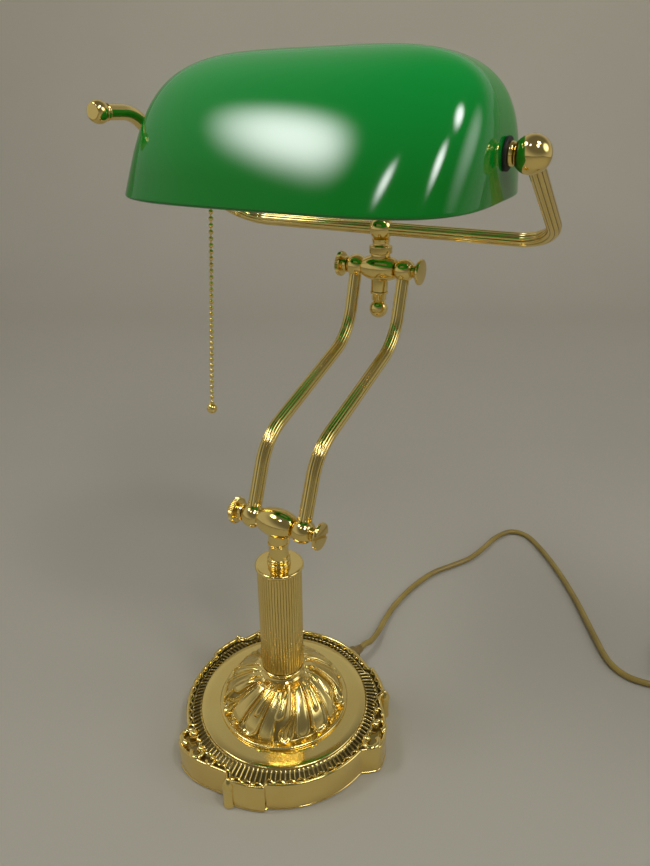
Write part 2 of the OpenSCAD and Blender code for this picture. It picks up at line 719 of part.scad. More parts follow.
// Swivel
collar_z = body_r + 0.6;
collar_top = collar_z + face_gap + collar_h;
module swivel_stem() {
    foot = -finial_drop;
    color(steel) at_upper() translate([0, 0, foot]) cylinder(r = stem_r, h = yoke_rise - foot);
}
module swivel_collar() {
    color(brass) at_upper() difference() {
        union() {
            translate([0, 0, collar_z + face_gap]) cylinder(r = collar_r, h = collar_h);
            translate([0, 0, collar_top - weld])
                cylinder(r1 = 0.72 * collar_r, r2 = 0.82 * collar_r, h = yoke_rise - 0.8 * yoke_ball_r - collar_top);
        }
        cylinder(r = stem_r + seat_fit, h = 2 * yoke_rise);
        translate([0, 0, yoke_rise]) sphere(yoke_ball_r + seat_fit);
    }
}
module finial() {
    color(brass) at_upper() difference() {
        union() {
            translate([0, 0, -upper_stub - face_gap - finial_ring_t]) cylinder(r = neck_r, h = finial_ring_t);
            translate([0, 0, -finial_drop]) cylinder(r = 0.82 * neck_r, h = finial_drop - upper_stub - face_gap - weld);
            translate([0, 0, -finial_drop]) sphere(finial_r);
        }
        translate([0, 0, -finial_drop]) cylinder(r = stem_r + seat_fit, h = finial_drop);
    }
}
module yoke_ball() {
    color(brass) translate([0, upper_y, yoke_z]) difference() {
        sphere(yoke_ball_r);
        translate([0, 0, -yoke_ball_r - proud]) cylinder(r = stem_r + seat_fit, h = yoke_ball_r + proud + seat_fit);
        rotate([yoke_lean, 0, 0]) for (side = [-1, 1])
            translate([side * yoke_seat, 0, 0]) rotate([0, 90 * side, 0]) cylinder(r = tube_r + seat_fit, h = yoke_ball_r);
    }
}

// Yoke
yoke_seat = 4.5;
yoke_corner = yoke_half + yoke_arm * tan(yoke_splay);
yoke_cut = yoke_bend_r * tan(45 + yoke_splay / 2);
module yoke_side() {
    color(brass) at_yoke() rotate([90, 0, 90]) {
        translate([0, 0, yoke_seat]) tube_straight(yoke_corner - yoke_cut - yoke_seat);
        translate([0, 0, yoke_corner - yoke_cut]) {
            tube_join();
            tube_bend(yoke_bend_r, 90 + yoke_splay);
            after_bend(yoke_bend_r, 90 + yoke_splay) {
                tube_join();
                tube_straight(yoke_arm / cos(yoke_splay) - yoke_cut - tube_seat);
            }
        }
    }
}
module yoke_right() { yoke_side(); }
module yoke_left() { mirror([1, 0, 0]) yoke_side(); }
// Pivot ball on the right end of the yoke, with a blind bore for the shade's spindle
spindle_seat = 3;
module pivot_ball() {
    color(brass) translate([yoke_half, pivot_y, pivot_z]) difference() {
        to_left() rotate_extrude() intersection() {
            circle(pivot_ball_r);
            translate([0, -pivot_ball_r]) square([pivot_ball_r, pivot_ball_r + pivot_flat]);
        }
        translate([-2 * pivot_ball_r, 0, 0]) to_right() cylinder(r = spindle_r + run_fit, h = 2 * pivot_ball_r + spindle_seat + face_gap);
        rotate([yoke_lean + 180, 0, 0]) rotate([0, yoke_splay, 0]) translate([0, 0, tube_seat])
            cylinder(r = tube_r + seat_fit, h = pivot_ball_r);
    }
}
module pivot_ball_right() { pivot_ball(); }
module pivot_ball_left() {
    difference() {
        mirror([1, 0, 0]) pivot_ball();
        at_handle() translate([0, 0, handle_seat]) cylinder(r = handle_r + seat_fit, h = pivot_ball_r);
    }
}
// Handle on the left pivot ball
handle_seat = 7.4;
module at_handle() {
    translate([-yoke_half, pivot_y, pivot_z]) rotate([0, 0, 90]) rotate([0, handle_rise_angle - 90, 0]) children();
}
module after_handle_bend() {
    translate([-handle_bend_r * (1 - cos(handle_rise_angle)), 0, handle_foot + handle_bend_r * sin(handle_rise_angle)])
        rotate([0, -handle_rise_angle, 0]) children();
}
// Core inside the rod where a straight stretch meets the bend
module handle_join() { cylinder(r = 0.6 * handle_r, h = 0.4 * handle_r, center = true); }
module head_handle() {
    color(brass) at_handle() {
        translate([0, 0, handle_seat]) cylinder(r = handle_r, h = handle_foot - handle_seat - weld);
        translate([0, 0, handle_foot]) handle_join();
        translate([-handle_bend_r, 0, handle_foot]) rotate([90, 0, 0])
            rotate_extrude(angle = handle_rise_angle) translate([handle_bend_r, 0]) circle(handle_r);
        after_handle_bend() {
            handle_join();
            translate([0, 0, weld]) cylinder(r = handle_r, h = handle_end - weld);
        }
    }
}
module handle_knob() {
    depth = 4;
    length = 1.6 * knob_r;
    color(brass) at_handle() after_handle_bend() translate([0, 0, handle_end - depth]) difference() {
        rotate_extrude() intersection() {
            translate([0, 0.55 * length]) scale(1) circle(knob_r);
            square([knob_r, length]);
        }
        translate([0, 0, -proud]) cylinder(r = handle_r + seat_fit, h = depth + proud);
    }
}

// Shade
module glass_shade() {
    inner = [for (k = [len(shade_levels) - 1 : -1 : 0]) shade_ring(shade_levels[k], glass_t)];
    outer = [for (t = shade_levels) shade_ring(t, 0)];
    color(green_glass) at_shade() difference() {
        loft(concat(inner, outer));
        translate([-2 * shade_half_l, 0, 0]) to_right() cylinder(r = spindle_r + face_gap, h = 4 * shade_half_l);
    }
}
// Ring on the shade's pivot axis, on both sides
module on_axis(x, t, r, hole) {
    for (side = [-1, 1]) at_shade() rotate([0, 90 * side, 0]) translate([0, 0, x]) difference() {
        cylinder(r = r, h = t);
        translate([0, 0, -proud]) cylinder(r = hole, h = t + 2 * proud);
    }
}
module rubber_washers() {
    color(rubber) {
        on_axis(glass_x, washer_t, washer_r, spindle_r + seat_fit);
        on_axis(inner_washer_x, washer_t, washer_r, spindle_r + seat_fit);
    }
}
module spacer_rings() { color(brass) on_axis(spacer_x, spacer_t, spacer_r, spindle_r + seat_fit); }
module lock_nuts() {
    color(brass) for (side = [-1, 1]) at_shade() rotate([0, 90 * side, 0]) translate([0, 0, lock_nut_x]) difference() {
        cylinder(r = washer_r, h = lock_nut_t, $fn = 6);
        translate([0, 0, -proud]) cylinder(r = spindle_r + seat_fit, h = lock_nut_t + 2 * proud);
    }
}
module spindle_right() {
    color(brass) at_shade() to_right() translate([0, 0, lock_nut_x - 2])
        cylinder(r = spindle_r, h = yoke_half + spindle_seat - lock_nut_x + 2);
}
module spindle_left() {
    color(brass) at_shade() to_left() translate([0, 0, holder_x - 6])
        cylinder(r = spindle_r, h = yoke_half + spindle_seat - holder_x + 6);
}

// Lampholder on the left spindle, facing the middle of the shade
holder_x = lock_nut_x;
socket_x = holder_x - holder_cap_l;
socket_mouth = socket_x - socket_l;
holder_wall = 3;
module lampholder_cap() {
    color(brass) at_shade() to_left() difference() {
        translate([0, 0, socket_x]) cylinder(r1 = holder_r, r2 = 0.5 * holder_r, h = holder_cap_l);
        translate([0, 0, socket_x - proud]) cylinder(r = spindle_r + seat_fit, h = holder_cap_l + 2 * proud);
        translate([0, 0, socket_x - weld]) cylinder(r1 = holder_r - holder_wall, r2 = 0.5 * holder_r - holder_wall, h = 0.6 * holder_cap_l);
    }
}
module lampholder_socket() {
    color(brass) at_shade() to_left() translate([0, 0, socket_mouth]) difference() {
        cylinder(r = holder_r, h = socket_l);
        translate([0, 0, -proud]) cylinder(r = bulb_base_r + run_fit, h = socket_l - holder_wall + proud);
    }
}
// Outlet of the switch: an arm to the front with a bell that faces down
outlet_in = 7;
outlet_x = -socket_mouth - outlet_in;
bell_r = 3.6;
bell_h = 8;
module switch_outlet() {
    color(brass) at_shade() translate([outlet_x, 0, 0]) difference() {
        union() {
            translate([0, -holder_r + 1, 0]) rotate([90, 0, 0]) cylinder(r = bell_r, h = outlet_out - holder_r - 1);
            translate([0, -outlet_out, 0]) sphere(bell_r);
            translate([0, -outlet_out, -bell_h]) cylinder(r1 = bell_r + 1, r2 = bell_r - 0.4, h = bell_h);
        }
        translate([-outlet_x, 0, 0]) to_left() cylinder(r = holder_r + seat_fit, h = 2 * shade_half_l);
        translate([0, -outlet_out, -bell_h - proud]) cylinder(r = link_r + face_gap, h = bell_h + proud + 1.2);
    }
}
base_depth = socket_l - holder_wall - 0.5;
bulb_wall = 1;
module bulb_base() {
    color(steel) at_shade() to_left() translate([0, 0, socket_mouth]) difference() {
        cylinder(r = bulb_base_r, h = base_depth);
        translate([0, 0, -proud]) cylinder(r = bulb_base_r - bulb_wall, h = base_depth - bulb_wall + proud);
    }
}
// Outline of the tubular bulb, drawn in by its wall for the hollow
module bulb_half(inset) {
    intersection() {
        union() {
            translate([0, bulb_r - bulb_l]) square([bulb_r - inset, bulb_l - 2 * bulb_r]);
            translate([0, bulb_r - bulb_l]) circle(bulb_r - inset);
            polygon([[0, -bulb_r - weld], [bulb_r - inset, -bulb_r - weld], [bulb_base_r - inset, 0], [0, 0]]);
        }
        translate([0, -bulb_l]) square([bulb_r, bulb_l]);
    }
}
module bulb() {
    color("white") at_shade() to_left() translate([0, 0, socket_mouth]) rotate_extrude() difference() {
        bulb_half(0);
        bulb_half(bulb_wall);
    }
}

// Pull chain, hanging from the outlet
link_r = 1.2;
link_h = 7;
outlet_y = pivot_y - outlet_out * cos(shade_tilt) + bell_h * sin(shade_tilt);
outlet_z = pivot_z - outlet_out * sin(shade_tilt) - bell_h * cos(shade_tilt);
module at_chain() { translate([outlet_x, outlet_y, outlet_z]) rotate([0, chain_lean, 0]) children(); }
module pull_link() {
    color(brass) at_shade() translate([outlet_x, -outlet_out, -bell_h - link_drop]) cylinder(r = link_r, h = link_h + link_drop);
}
link_drop = 1.5;
chain_top = -link_drop - face_gap - 0.2;
chain_l = bead_pitch * (bead_count - 1) + 2 * bead_r;
module pull_chain() {
    color(brass) at_chain() translate([0, 0, chain_top]) rotate_extrude($fn = 24) intersection() {
        union() {
            for (k = [0 : bead_count - 1]) translate([0, -bead_r - bead_pitch * k]) circle(bead_r, $fn = 24);
            translate([0, -chain_l + bead_r]) square([bead_wire_r, chain_l - 2 * bead_r]);
        }
        translate([0, -chain_l]) square([bead_r, chain_l]);
    }
}
module pull_ball() {
    color(brass) at_chain() translate([0, 0, chain_top - chain_l - pull_ball_r + 0.6]) difference() {
        sphere(pull_ball_r);
        translate([0, 0, pull_ball_r]) sphere(bead_r + seat_fit);
    }
}

// Cord
gland_neck_r = 5;
gland_flange_t = 2;
module cord_gland() {
    color("saddlebrown") at_gland() difference() {
        union() {
            translate([0, 0, rim_r - rim_wall - gland_flange_t - 0.6]) cylinder(r = gland_neck_r + 2, h = gland_flange_t);
            translate([0, 0, rim_r - rim_wall - 0.7]) cylinder(r = gland_neck_r, h = rim_wall + 1);
            translate([0, 0, rim_r + 0.1]) cylinder(r1 = gland_neck_r + 2.5, r2 = cord_r + 2.2, h = gland_l - 0.1);
        }
        translate([0, 0, rim_r - 2 * rim_wall]) cylinder(r = cord_r, h = 2 * rim_wall + gland_l - 3);
    }
}
module mains_cord() { color(cord_gold) loft(tube_rings(cord_path, cord_r, 8)); }
module cord_coil() { color(cord_gold) loft(tube_rings(coil_full, cord_r, coil_sides)); }
module plug_lead() { color(cord_gold) loft(tube_rings(lead_path, cord_r, 8)); }
tie_w = 7;
tie_turn = 215;
module cord_tie() {
    inner = coil_r - coil_pitch * coil_in - cord_r - 0.5;
    outer = coil_r + cord_r + 2.2;
    top = coil_z + layer_rise + cord_r + 0.2;
    color(rubber) translate([coil_x, coil_y, 0]) rotate([0, 0, tie_turn]) difference() {
        translate([inner - tie_t, -tie_w / 2, 0]) cube([outer - inner + 2 * tie_t, tie_w, top + tie_t]);
        translate([inner, -tie_w, tie_t]) cube([outer - inner, 2 * tie_w, top - tie_t]);
    }
}
plug_grip = 7;
plug_half_w = 13;
pin_r = 2;
pin_l = 19;
pin_gap = 9.5;
module plug_body() {
    color(rubber) translate([coil_last[0], plug_y, plug_half_t]) {
        rotate([-90, 0, 0]) cylinder(r1 = cord_r + 1.4, r2 = plug_grip - 1, h = 0.4 * plug_l + weld);
        translate([0, 0, -plug_half_t]) linear_extrude(2 * plug_half_t) polygon([
            [-plug_grip, 0.4 * plug_l], [plug_grip, 0.4 * plug_l], [plug_half_w, 0.7 * plug_l], [plug_half_w, plug_l],
            [-plug_half_w, plug_l], [-plug_half_w, 0.7 * plug_l]]);
    }
}
module plug_pins() {
    color(steel) for (side = [-1, 1])
        translate([coil_last[0] + side * pin_gap, plug_y + plug_l, plug_half_t]) rotate([-90, 0, 0]) cylinder(r = pin_r, h = pin_l);
}

base_casting();
base_dome();
base_weight();
base_felt();
tie_rod();
tie_rod_nut();
tie_rod_washer();
column_foot_ring();
column();
column_cap();
neck();
lower_pivot_body();
lower_screw();
lower_thumb_screw();
arm_left();
arm_right();
lower_ball_left();
lower_ball_right();
upper_ball_left();
upper_ball_right();
upper_pivot_body();
upper_screw();
upper_thumb_screw();
swivel_stem();
swivel_collar();
finial();
yoke_ball();
yoke_left();
yoke_right();
pivot_ball_left();
pivot_ball_right();
head_handle();
handle_knob();
glass_shade();
spindle_left();
spindle_right();
rubber_washers();
spacer_rings();
lock_nuts();
lampholder_cap();
lampholder_socket();
switch_outlet();
bulb();
bulb_base();
pull_link();
pull_chain();
pull_ball();
cord_gland();
mains_cord();
cord_coil();
plug_lead();
cord_tie();
plug_body();
plug_pins();
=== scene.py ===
import math
import bmesh
import bpy
from mathutils import Matrix, Vector


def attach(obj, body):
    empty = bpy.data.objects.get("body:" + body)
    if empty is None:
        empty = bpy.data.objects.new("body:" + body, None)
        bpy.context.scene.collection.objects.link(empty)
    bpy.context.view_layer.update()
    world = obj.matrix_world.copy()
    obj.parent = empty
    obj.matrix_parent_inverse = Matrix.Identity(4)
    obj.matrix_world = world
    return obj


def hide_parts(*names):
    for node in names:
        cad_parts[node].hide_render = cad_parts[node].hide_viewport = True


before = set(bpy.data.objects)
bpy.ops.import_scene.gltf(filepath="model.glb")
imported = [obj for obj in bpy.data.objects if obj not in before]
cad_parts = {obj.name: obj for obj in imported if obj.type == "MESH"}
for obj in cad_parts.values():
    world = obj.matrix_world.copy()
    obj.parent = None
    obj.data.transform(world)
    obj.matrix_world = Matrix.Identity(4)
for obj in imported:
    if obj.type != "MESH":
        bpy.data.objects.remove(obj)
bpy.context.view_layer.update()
scene = bpy.context.scene
mm = 0.001
mergeGap = 2e-6  # points closer than this become one
print("frame loaded with", len(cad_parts), "nodes")


def addObject(name, data):
    made = bpy.data.objects.new(name, data)
    scene.collection.objects.link(made)
    return made


def meshFrom(bm, name):
    mesh = bpy.data.meshes.new(name)
    bm.to_mesh(mesh)
    bm.free()
    return mesh


# Camera at the place the photo was taken from
view = {"place": (0.2148, -0.3190, 0.4499), "pitch": 25.93, "turn": 29.03, "focal": 655.0,
        "frameHigh": 866.0}


def setCamera(v):
    data = bpy.data.cameras.new("photoCamera")
    data.sensor_fit = "VERTICAL"
    data.sensor_height = 36.0
    data.lens = v["focal"] / v["frameHigh"] * data.sensor_height
    data.clip_start = 0.01
    data.clip_end = 30.0
    cam = addObject("photoCamera", data)
    cam.location = v["place"]
    cam.rotation_euler = (math.radians(90 - v["pitch"]), 0, math.radians(v["turn"]))
    scene.camera = cam


setCamera(view)


# Materials: the inputs of a node take values or the outputs of other nodes
def fillInputs(tree, node, inputs):
    for name, value in inputs.items():
        if isinstance(value, bpy.types.NodeSocket):
            tree.links.new(value, node.inputs[name])
        else:
            node.inputs[name].default_value = value


def addNode(tree, kind, inputs, output, **settings):
    node = tree.nodes.new("ShaderNode" + kind)
    for name, value in settings.items():
        setattr(node, name, value)
    fillInputs(tree, node, inputs)
    return node.outputs[output]


def newMaterial(name):
    mat = bpy.data.materials.new(name)
    mat.use_nodes = True
    return mat, mat.node_tree, mat.node_tree.nodes["Principled BSDF"]


def objectNoise(tree, scale, detail=3.0, stretch=(1, 1, 1)):
    place = addNode(tree, "TexCoord", {}, "Object")
    place = addNode(tree, "Mapping", {"Vector": place, "Scale": stretch}, "Vector")
    return addNode(tree, "TexNoise", {"Vector": place, "Scale": scale, "Detail": detail}, "Fac")


def ramp(tree, source, stops):
    out = addNode(tree, "ValToRGB", {"Fac": source}, "Color")
    for element, (position, tone) in zip(out.node.color_ramp.elements, stops):
        element.position = position
        element.color = (*tone, 1)
    return out


def mapRange(tree, source, fromRange, toRange=(0.0, 1.0), kind="LINEAR"):
    inputs = {"Value": source, "From Min": fromRange[0], "From Max": fromRange[1],
              "To Min": toRange[0], "To Max": toRange[1]}
    return addNode(tree, "MapRange", inputs, "Result", interpolation_type=kind)


def multiplyAdd(tree, value, factor, addend):
    return addNode(tree, "Math", {0: value, 1: factor, 2: addend}, "Value", operation="MULTIPLY_ADD")


def mixColour(tree, factor, first, second):
    return addNode(tree, "Mix", {"Factor": factor, "A": first, "B": second}, "Result", data_type="RGBA")


def addBump(tree, bsdf, height, strength, distance):
    inputs = {"Height": height, "Strength": strength, "Distance": distance}
    fillInputs(tree, bsdf, {"Normal": addNode(tree, "Bump", inputs, "Normal")})


# Polished brass, a little duller in cast recesses, with painted shade making it darker and browner there
brassLook = {"bright": (0.90, 0.71, 0.26), "warm": (0.86, 0.65, 0.22), "recessShade": (0.055, 0.041, 0.013),
             "glossy": 0.06, "dull": 0.14}
drawnLook = {"bright": (0.90, 0.71, 0.26), "warm": (0.84, 0.63, 0.21), "recessShade": (0.16, 0.11, 0.03),
             "glossy": 0.20, "dull": 0.30}
castLook = {"bright": (0.90, 0.71, 0.26), "warm": (0.86, 0.66, 0.23), "recessShade": (0.10, 0.068, 0.016),
            "glossy": 0.15, "dull": 0.23}


def makeBrass(name, look, smear=26.0, stretch=(1, 1, 1)):
    mat, tree, bsdf = newMaterial(name)
    cloudy = objectNoise(tree, smear, 4.0, stretch)
    tone = ramp(tree, cloudy, [(0.35, look["warm"]), (0.65, look["bright"])])
    # painted shade: this attribute marks creases, grooves and gaps, where the dark colour of the look is
    # mixed in
    depth = addNode(tree, "Attribute", {}, "Fac", attribute_name="recessShade")
    rough = mapRange(tree, cloudy, (0.3, 0.7), (look["glossy"], look["dull"]))
    shadedTone = mixColour(tree, depth, tone, (*look["recessShade"], 1))
    shadeRoughness = multiplyAdd(tree, depth, 0.3, rough)
    fillInputs(tree, bsdf, {"Metallic": 1.0, "Base Color": shadedTone, "Roughness": shadeRoughness})
    addBump(tree, bsdf, objectNoise(tree, 900.0, 2.0, stretch), 0.025, 0.0004)
    return mat


polishedBrass = makeBrass("polishedBrass", brassLook)
drawnBrass = makeBrass("drawnBrass", drawnLook, 60.0, (1, 1, 0.15))
castBrass = makeBrass("castBrass", castLook)


# Green glass with faint streaks and painted light that makes it paler towards the top, and its inside a
# brighter green, painted that bright for light through the glass, as the brass below it reflects
glassLook = {"deep": (0.0, 0.190, 0.010), "light": (0.0, 0.320, 0.040), "low": 0.418, "high": 0.486,
             "innerDeep": (0.07, 0.66, 0.10), "inner": (0.09, 0.76, 0.125), "streak": (0.35, 1.0, 1.6),
             "roughness": 0.08, "ior": 1.52}


def makeGreenGlass(look):
    mat, tree, bsdf = newMaterial("greenGlass")
    place = addNode(tree, "TexCoord", {}, "Object")
    height = addNode(tree, "SeparateXYZ", {"Vector": place}, "Z")
    # painted light: the glass grows paler green towards the top, as if lit more from above
    rise = mapRange(tree, height, (look["low"], look["high"]))
    streaksAndLitTop = multiplyAdd(tree, objectNoise(tree, 7.0, 3.0, look["streak"]), 0.5, rise)
    tone = ramp(tree, streaksAndLitTop, [(0.2, look["deep"]), (1.0, look["light"])])
    fillInputs(tree, bsdf, {"Base Color": tone, "Roughness": look["roughness"], "IOR": look["ior"]})
    addBump(tree, bsdf, objectNoise(tree, 18.0, 1.0), 0.05, 0.002)
    return mat


def makePlain(name, dark, light, scale, roughness, bump=0.0, bumpScale=600.0, coat=0.0, metallic=0.0):
    mat, tree, bsdf = newMaterial(name)
    tone = ramp(tree, objectNoise(tree, scale, 4.0), [(0.3, dark), (0.7, light)])
    fillInputs(tree, bsdf, {"Base Color": tone, "Roughness": roughness, "Coat Weight": coat,
                            "Metallic": metallic})
    if bump > 0:
        addBump(tree, bsdf, objectNoise(tree, bumpScale, 3.0), bump, 0.0006)
    return mat


greenGlass = makeGreenGlass(glassLook)
opalGlass = makePlain("opalGlass", (0.80, 0.81, 0.78), (0.86, 0.87, 0.84), 14.0, 0.22)
# painted light: the inside is green glass made this bright to stand in for light shining through the shade
insideGlass = makePlain("insideGlass", glassLook["innerDeep"], glassLook["inner"], 14.0, 0.12)
blackRubber = makePlain("blackRubber", (0.006, 0.006, 0.006), (0.012, 0.012, 0.011), 90.0, 0.55, 0.25,
                        1500.0)
cordSheath = makePlain("cordSheath", (0.26, 0.180, 0.032), (0.40, 0.285, 0.060), 40.0, 0.22, 0.12, 500.0,
                       coat=0.4)
amberPlastic = makePlain("amberPlastic", (0.17, 0.105, 0.020), (0.26, 0.165, 0.036), 120.0, 0.35, 0.15,
                         700.0, coat=0.3)
feltCloth = makePlain("feltCloth", (0.010, 0.045, 0.020), (0.025, 0.085, 0.040), 700.0, 0.95, 0.6, 1800.0)
castIron = makePlain("castIron", (0.045, 0.045, 0.047), (0.10, 0.10, 0.10), 60.0, 0.6, 0.5, 400.0,
                     metallic=0.7)
zincSteel = makePlain("zincSteel", (0.50, 0.50, 0.52), (0.64, 0.64, 0.65), 80.0, 0.28, 0.1, 900.0,
                      metallic=1.0)
blackMoulding = makePlain("blackMoulding", (0.012, 0.011, 0.010), (0.024, 0.022, 0.020), 70.0, 0.25, 0.05,
                          900.0, coat=0.3)
print("materials made")


# Shared ways of making a piece
def softenProfile(points, radius, cuts=3):
    out = [points[0]]
    for before, corner, after in zip(points, points[1:], points[2:]):
        p = Vector(corner)
        toBefore = Vector(before) - p
        toAfter = Vector(after) - p
        reach = min(radius, 0.45 * toBefore.length, 0.45 * toAfter.length)
        start = p + toBefore.normalized() * reach
        end = p + toAfter.normalized() * reach
        for k in range(cuts + 1):
            t = k / cuts
            q = start * (1 - t) ** 2 + p * 2 * t * (1 - t) + end * t ** 2
            out.append((q.x, q.y))
    out.append(points[-1])
    return out


def arc(cx, cy, r, fromAngle, toAngle, cuts=12):
    angles = [math.radians(fromAngle + (toAngle - fromAngle) * k / cuts) for k in range(cuts + 1)]
    return [(cx + r * math.cos(a), cy + r * math.sin(a)) for a in angles]


def turnOn(bm, profile, place, steps=96):
    ring = []
    for r, h in profile:
        ring.append(bm.verts.new(place @ Vector((r * mm, 0, h * mm))))
    edges = [bm.edges.new(pair) for pair in zip(ring, ring[1:])]
    axis = place.to_3x3() @ Vector((0, 0, 1))
    bmesh.ops.spin(bm, geom=ring + edges, cent=place.translation, axis=axis, angle=math.tau,
                   steps=steps, use_merge=True, use_duplicate=False)


def onlyVerts(geom):
    return [g for g in geom if isinstance(g, bmesh.types.BMVert)]


def sweepAlong(bm, section, places):
    # a section point's third value is painted shade, carried to the brass in this layer
    dark = bm.verts.layers.float.get("recessShade") or bm.verts.layers.float.new("recessShade")
    ring = [bm.verts.new(places[0] @ Vector((p[0] * mm, p[1] * mm, 0))) for p in section]
    for v, p in zip(ring, section):
        v[dark] = p[2] if len(p) > 2 else 0.0
    edges = [bm.edges.new((a, b)) for a, b in zip(ring, ring[1:] + ring[:1])]
    first = list(edges)
    last = places[0]
    for place in places[1:]:
        grown = bmesh.ops.extrude_edge_only(bm, edges=edges)["geom"]
        verts = onlyVerts(grown)
        edges = [g for g in grown if isinstance(g, bmesh.types.BMEdge)]
        edges = [e for e in edges if e.verts[0] in verts and e.verts[1] in verts]
        bmesh.ops.transform(bm, matrix=place @ last.inverted(), verts=verts)
        last = place
    bmesh.ops.contextual_create(bm, geom=first)
    bmesh.ops.contextual_create(bm, geom=edges)


def walk(start, moves, bendCuts=18):
    places = [start]
    here = start
    for move in moves:
        if move[0] == "go":
            here = here @ at(0, 0, move[1])
            places.append(here)
            continue
        side = math.copysign(move[1], move[2])
        for k in range(bendCuts):
            here = here @ at(0, side, 0) @ turned(-move[2] / bendCuts, "X") @ at(0, -side, 0)
            places.append(here)
    return places


def at(x, y, z):
    return Matrix.Translation((x * mm, y * mm, z * mm))


def turned(degrees, axis):
    return Matrix.Rotation(math.radians(degrees), 4, axis)


toRight = turned(90, "Y")
toLeft = turned(-90, "Y")
bothSides = ((-1, "left"), (1, "right"))


def makePiece(name, bm, materials, body, nodes=(), sharp=38):
    bmesh.ops.remove_doubles(bm, verts=bm.verts, dist=mergeGap)
    bmesh.ops.recalc_face_normals(bm, faces=bm.faces)
    for face in bm.faces:
        face.smooth = True
    mesh = meshFrom(bm, name)
    mesh.set_sharp_from_angle(angle=math.radians(sharp))
    for mat in materials:
        mesh.materials.append(mat)
    piece = addObject(name, mesh)
    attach(piece, body)
    if nodes:
        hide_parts(*nodes)
    return piece


def brassPiece(name, bm, body, nodes=(), sharp=38, material=polishedBrass):
    return makePiece(name, bm, [material], body, nodes, sharp)


def turnedPiece(name, parts, body, nodes, material=polishedBrass, steps=96):
    bm = bmesh.new()
    for profile, place in parts:
        turnOn(bm, profile, place, steps)
    return makePiece(name, bm, [material], body, nodes)


# Cord: the photographed stretch, the coil beside the view and the lead to the plug, in one length.
# A point of the route without a height rests on the table.
cordWay = {
    "diameter": 0.0055, "rest": 0.00275, "glandTurn": 76.0, "glandHeight": 0.011, "glandReach": 0.096,
    "straight": 0.007,
    "route": [
        (0.027, 0.108, 0.009), (0.026, 0.126, 0.005), (0.024, 0.148, 0.003), (0.024, 0.172),
        (0.029, 0.206), (0.039, 0.238), (0.053, 0.261), (0.066, 0.283), (0.074, 0.310), (0.080, 0.336),
        (0.092, 0.357), (0.111, 0.358), (0.133, 0.338), (0.159, 0.305), (0.184, 0.266), (0.206, 0.226),
        (0.223, 0.197), (0.239, 0.185), (0.256, 0.184), (0.274, 0.188, 0.003), (0.290, 0.190, 0.0034)],
    "coilMiddle": (0.308, 0.230), "coilRadius": 0.040, "coilPitch": 0.006, "turnsIn": 3.0, "turnsOut": 3.25,
    "layer": 0.006, "coilHeight": 0.00355, "plugHigh": 0.0075, "leadLength": 0.034,
    "leadMiddle": 0.017, "leadStraight": 0.008, "coilSteps": 36,
}


def curvePoint(p, i, t):
    a = p[max(i - 1, 0)]
    b = p[i]
    c = p[min(i + 1, len(p) - 1)]
    d = p[min(i + 2, len(p) - 1)]
    square = 2 * a - 5 * b + 4 * c - d
    cube = 3 * b - a - 3 * c + d
    return 0.5 * (2 * b + (c - a) * t + square * t * t + cube * t ** 3)


def cordPoints(w):
    out = math.radians(w["glandTurn"])
    away = Vector((math.cos(out), math.sin(out), 0))
    start = away * w["glandReach"] + Vector((0, 0, w["glandHeight"]))
    coil = []
    steps = w["coilSteps"]
    for k in range(int((w["turnsIn"] + w["turnsOut"]) * steps) + 1):
        n = k / steps
        inward = n if n < w["turnsIn"] else 2 * w["turnsIn"] - n
        r = w["coilRadius"] - w["coilPitch"] * inward
        climb = min(max((n - w["turnsIn"] + 0.25) / 0.5, 0), 1)
        a = math.radians(-90 + 360 * n)
        coil.append(Vector((w["coilMiddle"][0] + r * math.cos(a), w["coilMiddle"][1] + r * math.sin(a),
                            w["coilHeight"] + w["layer"] * climb)))
    first = coil[0] - Vector((w["diameter"], 0, 0))
    last = coil[-1] + Vector((0, w["diameter"], 0))
    plugEnd = Vector((last.x, last.y + w["leadLength"], w["plugHigh"]))
    half = Vector((last.x, plugEnd.y - w["leadMiddle"], (last.z + w["plugHigh"]) / 2))
    straight = Vector((0, w["leadStraight"], 0))
    lead = [last, last + straight, half, plugEnd - straight, plugEnd]
    route = [Vector((*p, w["rest"])[:3]) for p in w["route"]]
    knots = [start, start + away * w["straight"]] + route + [first]
    smooth = [curvePoint(knots, i, k / 6) for i in range(len(knots) - 1) for k in range(6)]
    leadSmooth = [curvePoint(lead, i, k / 4) for i in range(len(lead) - 1) for k in range(4)]
    return smooth + [first] + coil + leadSmooth + [lead[-1]], start, last


def makeCord(w):
    points, start, last = cordPoints(w)
    length = sum((b - a).length for a, b in zip(points, points[1:]))
    data = bpy.data.curves.new("mainsCord", "CURVE")
    data.dimensions = "3D"
    data.bevel_depth = w["diameter"] / 2
    data.bevel_resolution = 4
    data.use_fill_caps = True
    line = data.splines.new("POLY")
    line.points.add(len(points) - 1)
    for knot, p in zip(line.points, points):
        knot.co = (*p, 1)
    line.use_smooth = True
    data.materials.append(cordSheath)
    cord = addObject("mainsCord", data)
    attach(cord, "stand")
    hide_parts("mains_cord", "cord_coil", "plug_lead")
    return cord, start, last, length


mainsCord, cordStart, coilEnd, cordLength = makeCord(cordWay)

# Plug beside the coil: flat body with a grip, and its pins
plugForm = {"grip": 7.0, "halfWide": 13.0, "halfThick": 7.5, "length": 36.0, "edge": 1.6,
            "sleeve": 0.4, "shoulder": 0.7, "pinRadius": 2.0, "pinLength": 19.0, "pinApart": 9.5}


